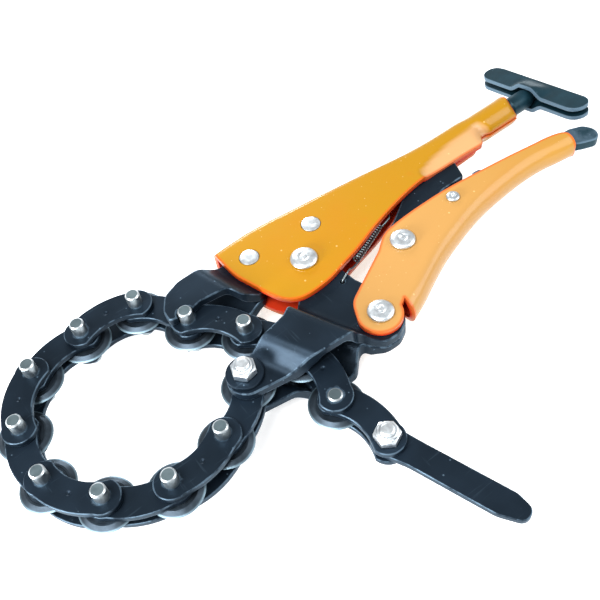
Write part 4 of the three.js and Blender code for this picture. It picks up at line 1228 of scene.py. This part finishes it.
class Fold:
    """A handle folded from sheet: two flat walls joined by a rounded back.

    rows are (x, back, corner): the back's height and bend radius along the handle. out is 1 where the
    back lies above the walls and -1 where it lies below them.
    """

    ring_step, ring_inner, bore_inner, seam_share = 1.2 * MM, 2.4 * MM, 2.6 * MM, 0.975

    def __init__(self, rows, half, out, arc_steps, flat_steps=4):
        self.rows, self.half, self.out, self.free = rows, half, out, {}
        self.tangent = [Vector((x, back - out * corner)) for x, back, corner in rows]
        self.points, self.rim = [], []
        turns = [math.radians(90 * k / arc_steps) for k in range(arc_steps + 1)]
        for x, back, corner in rows:
            bend = [(back - out * corner * (1 - math.sin(a)), half - corner * (1 - math.cos(a))) for a in turns]
            flat = [(back, (half - corner) * (1 - 2 * k / flat_steps)) for k in range(1, flat_steps)]
            section = [*bend, *flat, *((y, -z) for y, z in reversed(bend))]
            self.points += [Vector((x, y, z)) for y, z in section]
            self.rim += [min(abs(x - rows[end][0]) for end in (0, -1))] * len(section)
        self.faces = grid(0, len(rows), len(section))
        self.back_count = len(self.points)

    def add_wall(self, free, side, bores, step):
        """One wall between the back and its free edge, listed from the back's far end to its near end."""
        self.free[side] = sorted((point.x, point.y) for point in free)
        loop = [*self.tangent, *free]
        if sum(a.cross(b) for a, b in zip(loop, loop[1:] + loop[:1])) < 0:
            loop.reverse()
        flat, edges, bounds = [], [], [loop]
        for line in (loop, inset(loop, self.ring_step), inset(loop, self.ring_inner)):
            edges += ring(len(flat), len(line))
            flat += line
        for x, y, radius in bores:
            edges += ring(len(flat), BORE_STEPS)
            rings = [
                arc((x, y), radius + extra, 0, 360, BORE_STEPS)[:-1]
                for extra in (0.0, self.ring_step, self.bore_inner)
            ]
            bounds.append(rings[0])
            flat += [point for line in rings for point in line]
        margin = step * 0.55
        keep = [inset(loop, self.ring_inner + margin)]
        keep += [arc((x, y), radius + self.bore_inner + margin, 0, 360, 24)[:-1] for x, y, radius in bores]
        flat += scattered(loop, keep, step, 0.87)
        found, _origins, triangles = filled(flat, edges, bounds)
        edge_line = [self.tangent[-1], *free, self.tangent[0]]
        first = len(self.points)
        self.points += [Vector((point.x, point.y, side * self.half)) for point in found]
        self.rim += [edge_gap(point, edge_line) for point in found]
        self.faces += [[first + k for k in triangle[::side]] for triangle in triangles]

    def wrap(self, centre, radius, start, end):
        """Rolls the section into a tube round (centre, 0) from start to end along X."""
        for index, point in enumerate(self.points):
            share = smooth_share(point.x, start, end)
            if not share:
                continue
            back, corner = between(self.rows, point.x)
            tangent = back - self.out * corner
            side = 1 if point.z > 0 else -1
            flat, across = self.half - corner, abs(point.z)
            bent, away = flat + corner * math.pi / 2, radius
            if index >= self.back_count:
                reach, away = bent + abs(tangent - point.y), radius - (self.half - across)
            elif across <= flat:
                reach = across
            else:
                reach = flat + corner * math.asin(min(1.0, (across - flat) / corner))
            longest = bent + abs(tangent - between(self.free[side], point.x)[0])
            angle = reach * min(1 / radius, math.pi * self.seam_share / longest)
            point.y = mixed(point.y, centre + self.out * away * math.cos(angle), share)
            point.z = mixed(point.z, side * away * math.sin(angle), share)

    def press(self, outline, depth, shoulder, slope):
        """Presses a flat inside an outline into both walls, deeper away from the outline, and marks over it the
        share of the enamel's painted pale reflection.
        """
        self.pale = [0.0] * len(self.points)
        line = [*outline, outline[0]]
        for index, point in enumerate(self.points):
            if index >= self.back_count and inside(outline, point.x, point.y):
                gap = edge_gap(point.to_2d(), line)
                # Painted reflection: the flat is marked pale, fully once past the shoulder
                self.pale[index] = smooth_share(gap, 0.0, shoulder)
                point.z -= math.copysign(depth * self.pale[index] + slope * gap, point.z)

    def piece(self, name, sheet, lip, keep_sharp):
        """The solid sheet, its free edges rounded except at the bores in keep_sharp."""
        made = new_piece(name, self.points, self.faces, rim=self.rim)
        # pale carries the share of the enamel's painted reflection
        mark(made.data, "pale", self.pale)
        outside = len(welded(made, 0.004 * MM, sheet=True).data.vertices)
        thickened(made, sheet)
        mark(made.data, "inner", [float(k >= outside) for k in range(len(made.data.vertices))])
        with edited(made.data) as form:
            weight = form.edges.layers.float.new("bevel_weight_edge")
            for edge in form.edges:
                if len(edge.link_faces) == 2 and edge.calc_face_angle(0.0) >= SHARP_TURN:
                    at = (edge.verts[0].co + edge.verts[1].co).to_2d() / 2
                    near = ((at - Vector((x, y))).length < radius + 0.3 * MM for x, y, radius in keep_sharp)
                    edge[weight] = float(not any(near))
        return lipped(made, lip, 4, "WEIGHT")


# Shares along the shell, and of its belly down to the back, the upper wall's edge and the lower wall's
SHELL_SHARES = (
    (0, 0.017, 0.229, 0.207),
    (0.003, 0.015, 0.389, 0.357),
    (0.016, 0.011, 0.553, 0.538),
    (0.035, 0.006, 0.771, 0.741),
    (0.052, 0.004, 0.893, 0.848),
    (0.078, 0.002, 0.968, 0.902),
    (0.114, 0, 0.998, 0.934),
    (0.181, 0.017, 0.985, 0.938),
    (0.246, 0.045, 0.925, 0.897),
    (0.303, 0.066, 0.872, 0.844),
    (0.392, 0.103, 0.767, 0.763),
    (0.491, 0.147, 0.677, 0.652),
    (0.584, 0.184, 0.624, 0.583),
    (0.665, 0.205, 0.624, 0.558),
    (0.758, 0.212, 0.626, 0.543),
    (0.826, 0.212, 0.637, 0.538),
    (0.863, 0.212, 0.6, 0.56),
    (0.9, 0.212, 0.58, 0.58),
    (0.93, 0.212, 0.58, 0.58),
    (1, 0.212, 0.58, 0.58),
)
PANEL_SHARES = ((0.6, 0.52), (0.66, 0.455), (0.75, 0.4), (0.87, 0.385), (0.89, 0.5), (0.885, 0.8), (0.6, 0.8))
# Shares along the lower handle, and of its depth down to the open edge and the back
HANDLE_SHARES = (
    (0, 0.333, 1.005),
    (0.068, 0.197, 0.922),
    (0.133, 0.061, 0.826),
    (0.195, 0.02, 0.737),
    (0.271, 0.003, 0.641),
    (0.356, 0, 0.558),
    (0.432, 0.005, 0.49),
    (0.525, 0.028, 0.429),
    (0.619, 0.061, 0.394),
    (0.72, 0.098, 0.371),
    (0.797, 0.131, 0.371),
    (0.864, 0.162, 0.386),
    (0.932, 0.194, 0.422),
    (0.983, 0.245, 0.444),
    (1, 0.3, 0.442),
)


class CUTTER_OT_shell(bpy.types.Operator):
    """Builds the main handle shell with its pressed neck and rolled tube end"""

    bl_idname = "cutter.shell"
    bl_label = "Handle shell"

    def execute(self, _context):
        h, jaws, gap = sizes("handles"), sizes("jaws"), sizes("chain").clearance

        def at(along, down):
            return (along * h.shell_length - h.shell_front, h.spine - down * h.belly)

        rows = []
        for along, back, _upper, _lower in catmull(SHELL_SHARES, 7):
            x, y = at(along, back)
            corner = mixed(h.spine_corner, h.neck_corner, smooth_share(along, 0.45, 0.75))
            if not rows or x - rows[-1][0] > 0.6 * MM or along == 1:
                rows.append((x, y, corner))
        fold = Fold(rows, h.half, 1, arc_steps=8)
        flush = jaws.flush_rivet + gap * 0.6
        bores = [(0, 0, jaws.rivet + gap), (*JAW_RIVET_FRONT, flush), (*JAW_RIVET_REAR, flush)]
        for side, column in ((1, 2), (-1, 3)):
            curve = catmull([(row[0], row[column]) for row in SHELL_SHARES], 10)
            free = resampled([Vector(at(*shares)) for shares in curve], 1.25 * MM)
            fold.add_wall(free[::-1], side, bores, 1.6 * MM)
        outline = rounded([(*at(*shares), 2.4 * MM) for shares in PANEL_SHARES])
        fold.press(outline, h.panel_depth, 1.9 * MM, 0.09)
        fold.wrap(SCREW_AXIS.y, h.tube_radius, 104 * MM, 113 * MM)
        shell = fold.piece("handle_shell", h.sheet, h.lip, bores)
        hand_over(shell, "frame", "orange_paint", "fixed_handle", crease=50)
        return DONE


class CUTTER_OT_lower_handle(bpy.types.Operator):
    """Builds the lower handle's channel with its half-round back and its ears"""

    bl_idname = "cutter.lower_handle"
    bl_label = "Lower handle"

    def execute(self, _context):
        h, jaws, gap = sizes("handles"), sizes("jaws"), sizes("chain").clearance
        start, end = h.web_start, h.web_start + h.length
        rows = []
        for along, down, back in catmull(HANDLE_SHARES, 7):
            corner = min(h.half * 0.97, (back - down) * h.depth - 0.4 * MM)
            rows.append((start + along * h.length, -h.open_drop - back * h.depth, corner))
        fold = Fold(rows, h.half, -1, arc_steps=12)
        curve = catmull([row[:2] for row in HANDLE_SHARES[1:]], 10)
        top = [Vector((start + along * h.length, -h.open_drop - down * h.depth)) for along, down in curve][::-1]
        r, px, py = h.ear_radius, HANDLE_PIVOT.x, HANDLE_PIVOT.y
        web, inward = fold.tangent[0], 0.4 * MM
        ear = [
            (top[-1].x, top[-1].y, 0),
            (px - r * 0.55, py + r * 1.15, r),
            *((*point, 0) for point in arc((px - inward, py - inward / 2), r - inward, 152, 345, 24)),
            (web.x, web.y - 0.3 * MM, 0),
            (top[-1].x + 10 * MM, web.y, 0),
        ]
        free = resampled([*top, *rounded(ear)[1:-1]], 1.25 * MM)
        bores = [(px, py, jaws.rivet + gap), (*TOGGLE_PIVOT, jaws.rivet + gap), (*RELEASE_PIVOT, 2.2 * MM)]
        for side in (1, -1):
            fold.add_wall(free, side, bores, 1.8 * MM)
        # Painted reflection: pale peach over the whole handle, strongest near the pivot and fading toward the
        # handle's end
        fold.pale = [0.55 * smooth_share(end - point.x, -0.08, 0.10) for point in fold.points]
        handle = fold.piece("lower_handle_channel", h.sheet, h.lip, bores)
        hand_over(handle, "lower_handle", "orange_paint", "lower_handle", crease=50)
        return DONE


# Levers


TOGGLE_SHARES = (
    (0.3, -0.1, 8),
    (0.56, -0.115, 8),
    (0.735, -0.222, 2),
    (1, -0.012, 2),
    (0.975, 0.09, 2),
    (0.6, 0.125, 20),
)
RELEASE_SHARES = (
    (0.42, -0.032, 6),
    (0.7, -0.052, 6),
    (0.79, -0.056, 1),
    (0.79, -0.122, 1.5),
    (0.835, -0.145, 4),
    (0.916, -0.178, 5),
    (0.958, -0.112, 5),
    (0.925, -0.047, 5),
    (0.85, -0.014, 3),
    (0.785, -0.01, 2),
    (0.7, -0.025, 4),
    (0.34, 0.02, 3),
    (0.28, 0.095, 1.5),
    (0.235, 0.1, 1.5),
    (0.2, 0.05, 2),
)
TAIL_SHARES = (
    (0.2, -1, 1.67),
    (0.82, -1, 1.33),
    (1, -0.5, 0.42),
    (1, 0.55, 0.33),
    (0.87, 1, 0.67),
    (0.2, 1, 1.67),
)


class CUTTER_OT_levers(bpy.types.Operator):
    """Builds the toggle link, the release lever and the tail lever"""

    bl_idname = "cutter.levers"
    bl_label = "Toggle link, release lever and tail lever"

    def execute(self, _context):
        jaws, chain = sizes("jaws"), sizes("chain")
        gap = chain.clearance
        run = Vector((92 * MM, SCREW_AXIS.y)) - TOGGLE_PIVOT
        eye, half = 8 * MM, 3.8 * MM
        corners = [*eye_end(eye, eye / 2), *spread(TOGGLE_SHARES, run.length, run.length, MM)]
        corners += [(eye / 2, eye, eye)]
        bore = [(0, 0, jaws.rivet + gap)]
        toggle = blank("toggle_bar", rounded(corners), bore, -half, half, 0.7 * MM)
        placed(toggle, TOGGLE_PIVOT, math.atan2(run.y, run.x))
        hand_over(toggle, "toggle", "black_steel", "toggle_link")

        eye, reach, half = 5 * MM, 85 * MM, 2.4 * MM
        corners = [*eye_end(eye, eye), *spread(RELEASE_SHARES, reach, reach, MM), (eye, eye, eye)]
        bore = [(0, 0, 2.2 * MM)]
        release = blank("release_bar", rounded(corners), bore, -half, half, 0.5 * MM, worn=0.3 * MM)
        hand_over(placed(release, RELEASE_PIVOT), "release", "blue_black", "release_lever")

        length, width, shift, half = 55 * MM, 10.7 * MM, 0.95 * MM, chain.wheel_half
        flank = [(x, y + shift, c) for x, y, c in spread(TAIL_SHARES, length, width / 2, width)]
        bore = [(0, 0, chain.pin_radius + gap)]
        tail = blank("tail_bar", rounded(eye_end(chain.end_radius - gap) + flank), bore, -half, half, 0.35 * MM)
        hand_over(placed(tail, PINS[-1], math.radians(-72)), "tail", "black_steel", "tail_lever")
        return DONE


# Screw and T handle


class CUTTER_OT_screw(bpy.types.Operator):
    """Builds the adjusting screw with its helical thread and plain shank"""

    bl_idname = "cutter.screw"
    bl_label = "Adjusting screw"

    def execute(self, _context):
        tip, shoulder, bar, end = 94.6 * MM, 135.2 * MM, 146.5 * MM, 156.2 * MM
        thread, shank, pitch, sides = 4.0 * MM, 4.7 * MM, 1.5 * MM, 32
        rows = [tip]
        while rows[-1] < shoulder - 1.0 * MM:
            rows.append(rows[-1] + pitch / 8)
        plain = {shoulder: shank - 0.4 * MM, shoulder + 0.5 * MM: shank, bar - 0.4 * MM: shank}
        plain |= {bar: shank * 0.96, end: 1.1 * MM}
        points = []
        for x in [*rows, *plain]:
            for k in range(sides):
                angle = 2 * math.pi * k / sides
                radius = plain.get(x, thread)
                if x < shoulder - 0.5 * MM:
                    depth = min(1.0, abs(2 * ((x / pitch - k / sides) % 1.0) - 1) * 1.5)
                    radius = thread - 0.75 * MM * (1 - depth)
                    radius = min(radius, thread - 0.9 * MM + (x - tip) * 0.8)
                points.append((x, radius * math.cos(angle), radius * math.sin(angle)))
        faces = grid(0, len(rows) + len(plain), sides, closed=True)
        faces += [list(range(sides)), list(reversed(range(len(points) - sides, len(points))))]
        screw = placed(new_piece("threaded_rod", points, faces), Vector((0.0, SCREW_AXIS.y)))
        hand_over(screw, "screw", "blue_black", "adjusting_screw")
        return DONE


class CUTTER_OT_t_handle(bpy.types.Operator):
    """Builds the T handle: a folded strip with round ends, swollen round the shank"""

    bl_idname = "cutter.t_handle"
    bl_label = "T handle"

    def execute(self, _context):
        start, reach, width, half, sheet = 146.8 * MM, 31.5 * MM, 13 * MM, 3.15 * MM, 1.8 * MM
        bend, swell, front_round, rear_round = 1.5 * MM, 6.8 * MM, 6.2 * MM, 5.0 * MM
        fold_end, flat_steps, bend_steps, fine = reach - rear_round, 16, 8, 1e-6
        ends = [reach - front_round * (1 - math.sin(math.radians(a))) for a in range(0, 91, 6)]
        ends += [reach - rear_round * (1 - math.sin(math.radians(a))) for a in range(0, 90, 9)]
        ends += [(reach - front_round) * k / 30 for k in range(30)]
        along = []
        for y in sorted([*ends, *(-y for y in ends)]):
            if not along or y - along[-1] > 0.05 * MM:
                along.append(y)

        def cut_back(y, radius):
            over = min(radius, max(0.0, abs(y) - (reach - radius)))
            return radius - math.sqrt(radius**2 - over**2)

        points, rim = [], []
        for y in along:
            low, edge = cut_back(y, front_round), width - bend - cut_back(y, rear_round)
            front = mixed(half, swell, 1 - smooth_share(abs(y), 3.2 * MM, 10.5 * MM))
            folded, ended = abs(y) <= fold_end + fine, abs(y) > fold_end - 2 * MM
            section = []
            for x in (mixed(low, edge, k / flat_steps) for k in range(flat_steps + 1)):
                section.append((x, mixed(front, half, smooth_share(x, 0.0, width - bend))))
            for a in (math.radians(90 * k / bend_steps) for k in range(1, bend_steps + 1)):
                section.append((edge + bend * math.sin(a) * folded, half * (math.cos(a) if folded else 1.0)))
            section += [(x, -z) for x, z in reversed(section)]
            points += [Vector((x, y, z)) for x, z in section]
            rim += [min(x - low, reach - abs(y), edge - x if ended else 1.0) for x, _z in section]
        count = 2 * (flat_steps + bend_steps + 1)
        faces = []
        for face in grid(0, len(along), count):
            i, j = divmod(face[0], count)
            open_end = max(abs(along[i]), abs(along[i + 1])) > fold_end + fine
            if not (open_end and flat_steps <= j < count - 1 - flat_steps):
                faces.append(face)
        piece = welded(new_piece("folded_bar", points, faces, rim=rim), 0.002 * MM, sheet=True)
        lipped(thickened(piece, sheet), 0.55 * MM, 3, "ANGLE")
        turn = Matrix.Rotation(math.radians(-12.4), 4, "X")
        piece.data.transform(Matrix.Translation((start, SCREW_AXIS.y, 0.0)) @ turn)
        hand_over(piece, "t_bar", "blue_black", "t_handle", crease=50)
        return DONE


class CUTTER_OT_spring(bpy.types.Operator):
    """Builds the return spring as one wire from the jaw plate to its lug in the shell"""

    bl_idname = "cutter.spring"
    bl_label = "Return spring"

    def execute(self, _context):
        wire, radius, pitch, curls, level, steps = 0.9 * MM, 1.5 * MM, 1.4 * MM, 15, 1.6 * MM, 20
        hole, start, lug = Vector((5.7, -18.5)) * MM, Vector((18.6, -11.3)) * MM, Vector((43.6, -0.7)) * MM
        axis = (lug - start).normalized()
        side = Vector((-axis.y, axis.x))

        def on(along, across, height):
            flat = start + axis * along + side * across
            return Vector((flat.x, flat.y, height))

        face = Levels().jaw_high
        over = face + 0.75 * MM
        path = [
            (hole.x, hole.y, face - 2 * wire),
            (hole.x, hole.y, face),
            (hole.x + wire * 0.3, hole.y + wire * 0.15, over - wire * 0.25),
            (hole.x + wire, hole.y + wire / 2, over),
            on(-5.9 * pitch, -radius, over),
            on(-4 * pitch, -radius, level + radius),
            on(-2 * pitch, -radius, level + radius * 0.4),
            on(-wire, -radius, level),
        ]
        for i in range(curls * steps + 1):
            angle = i / steps * 2 * math.pi + math.pi
            path.append(on(i / steps * pitch, radius * math.cos(angle), level + radius * math.sin(angle)))
        around = 1.8 * MM + wire / 2
        along_lug = (lug - start).dot(axis)
        path.append(on(curls * pitch + wire, -radius, level))
        for angle in (math.pi * k / 8 - math.pi / 2 for k in range(9)):
            path.append(on(along_lug + around * math.cos(angle), around * math.sin(angle), level))
        piece = new_piece("spring_wire", path, [], [(k, k + 1) for k in range(len(path) - 1)])
        grow(piece, wire_tree, Radius=wire / 2, Sides=12)
        hand_over(piece, "frame", "spring_steel", "return_spring", crease=60)
        return DONE


# Stage


class CUTTER_OT_stage(bpy.types.Operator):
    """Sets the pale floor, the soft lights and the camera"""

    bl_idname = "cutter.stage"
    bl_label = "Floor, lights and camera"

    def execute(self, context):
        scene = context.scene
        scene.view_settings.view_transform = "Standard"
        scene.world = bpy.data.worlds.new("studio")
        scene.world.use_nodes = True
        background = scene.world.node_tree.nodes["Background"]
        background.inputs["Color"].default_value = (1.0, 1.0, 1.0, 1.0)
        background.inputs["Strength"].default_value = 0.62

        level = min(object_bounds()[0].z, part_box("lower_jaw_plate_bottom")[0].z) - 0.1 * MM
        bpy.ops.mesh.primitive_plane_add(size=6.0, location=(0.0, 0.0, level))
        floor = context.object
        floor.name = "floor"
        white = (1.0, 1.0, 1.0)
        glow = {"Emission_Color": (*white, 1.0), "Emission_Strength": 0.62}
        paint = Finish("floor_paper", Roughness=0.9, Metallic=0.0, **glow)
        paint.give("Base Color", paint.layered(sizes("finishes").floor, (paint.noise(3.0) * 0.2, white)))
        floor.data.materials.append(paint.material)
        floor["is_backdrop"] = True

        lamps = (
            ("key", (-0.50, -0.10, 0.80), 0.50, 11.5),
            ("fill", (0.60, -0.45, 0.55), 0.60, 5.0),
            ("band", (-0.72, -0.01, 0.20), 0.22, 8.0),
            ("spine", (0.24, 0.69, 0.33), 0.18, 2.5),
        )
        for name, place, width, power in lamps:
            lamp = bpy.data.lights.new(name, "AREA")
            lamp.shape, lamp.size, lamp.energy = "SQUARE", width, power
            holder = bpy.data.objects.new(name, lamp)
            holder.location = place
            aim = Vector((0.0, 0.0, 0.02)) - Vector(place)
            holder.rotation_euler = aim.to_track_quat("-Z", "Y").to_euler()
            scene.collection.objects.link(holder)

        # The camera stands as the photographer's did; the tool lay turned on the table before it
        elevation, roll, table_turn = (math.radians(degrees) for degrees in (52.0141, -10.259, -29.0))
        forward = Vector((0.0, math.cos(elevation), -math.sin(elevation)))
        right = Vector((1.0, 0.0, 0.0))
        up = right.cross(forward)
        across = right * math.cos(roll) + up * math.sin(roll)
        upward = up * math.cos(roll) - right * math.sin(roll)
        place = -forward * 323.585 * MM - Vector((4.7, 25.6, -12.8)) * MM
        turn = Matrix.Rotation(table_turn, 3, "Z")
        view = turn @ Matrix((across, upward, -forward)).transposed()
        camera = bpy.data.cameras.new("camera")
        camera.sensor_width, camera.lens, camera.clip_start = 36.0, 48.942, 0.01
        holder = bpy.data.objects.new("camera", camera)
        holder.matrix_world = Matrix.Translation(turn @ place + ORIGIN) @ view.to_4x4()
        scene.collection.objects.link(holder)
        scene.camera = holder
        return DONE


OPERATORS = (
    CUTTER_OT_chain_links,
    CUTTER_OT_wheels,
    CUTTER_OT_fastenings,
    CUTTER_OT_jaws,
    CUTTER_OT_rivets,
    CUTTER_OT_shell,
    CUTTER_OT_lower_handle,
    CUTTER_OT_levers,
    CUTTER_OT_screw,
    CUTTER_OT_t_handle,
    CUTTER_OT_spring,
    CUTTER_OT_stage,
)


class CUTTER_PT_panel(bpy.types.Panel):
    """Lists the cutter's sizes, colours and building steps"""

    bl_idname = "CUTTER_PT_panel"
    bl_label = "Chain pipe cutter"
    bl_space_type = "VIEW_3D"
    bl_region_type = "UI"
    bl_category = "Cutter"

    def draw(self, context):
        for group, kind in GROUPS.items():
            box = self.layout.box()
            box.label(text=group.capitalize())
            for name in kind.__annotations__:
                box.prop(getattr(context.scene, "cutter_" + group), name)
        column = self.layout.column(align=True)
        for operator in OPERATORS:
            column.operator(operator.bl_idname)


def register():
    for kind in (*GROUPS.values(), *OPERATORS, CUTTER_PT_panel):
        bpy.utils.register_class(kind)
    for group, kind in GROUPS.items():
        setattr(bpy.types.Scene, "cutter_" + group, PointerProperty(type=kind))


def unregister():
    for group in GROUPS:
        delattr(bpy.types.Scene, "cutter_" + group)
    for kind in reversed((*GROUPS.values(), *OPERATORS, CUTTER_PT_panel)):
        bpy.utils.unregister_class(kind)


def main():
    register()
    for operator in OPERATORS:
        space, name = operator.bl_idname.split(".")
        getattr(getattr(bpy.ops, space), name)()


if __name__ == "__main__":
    main()
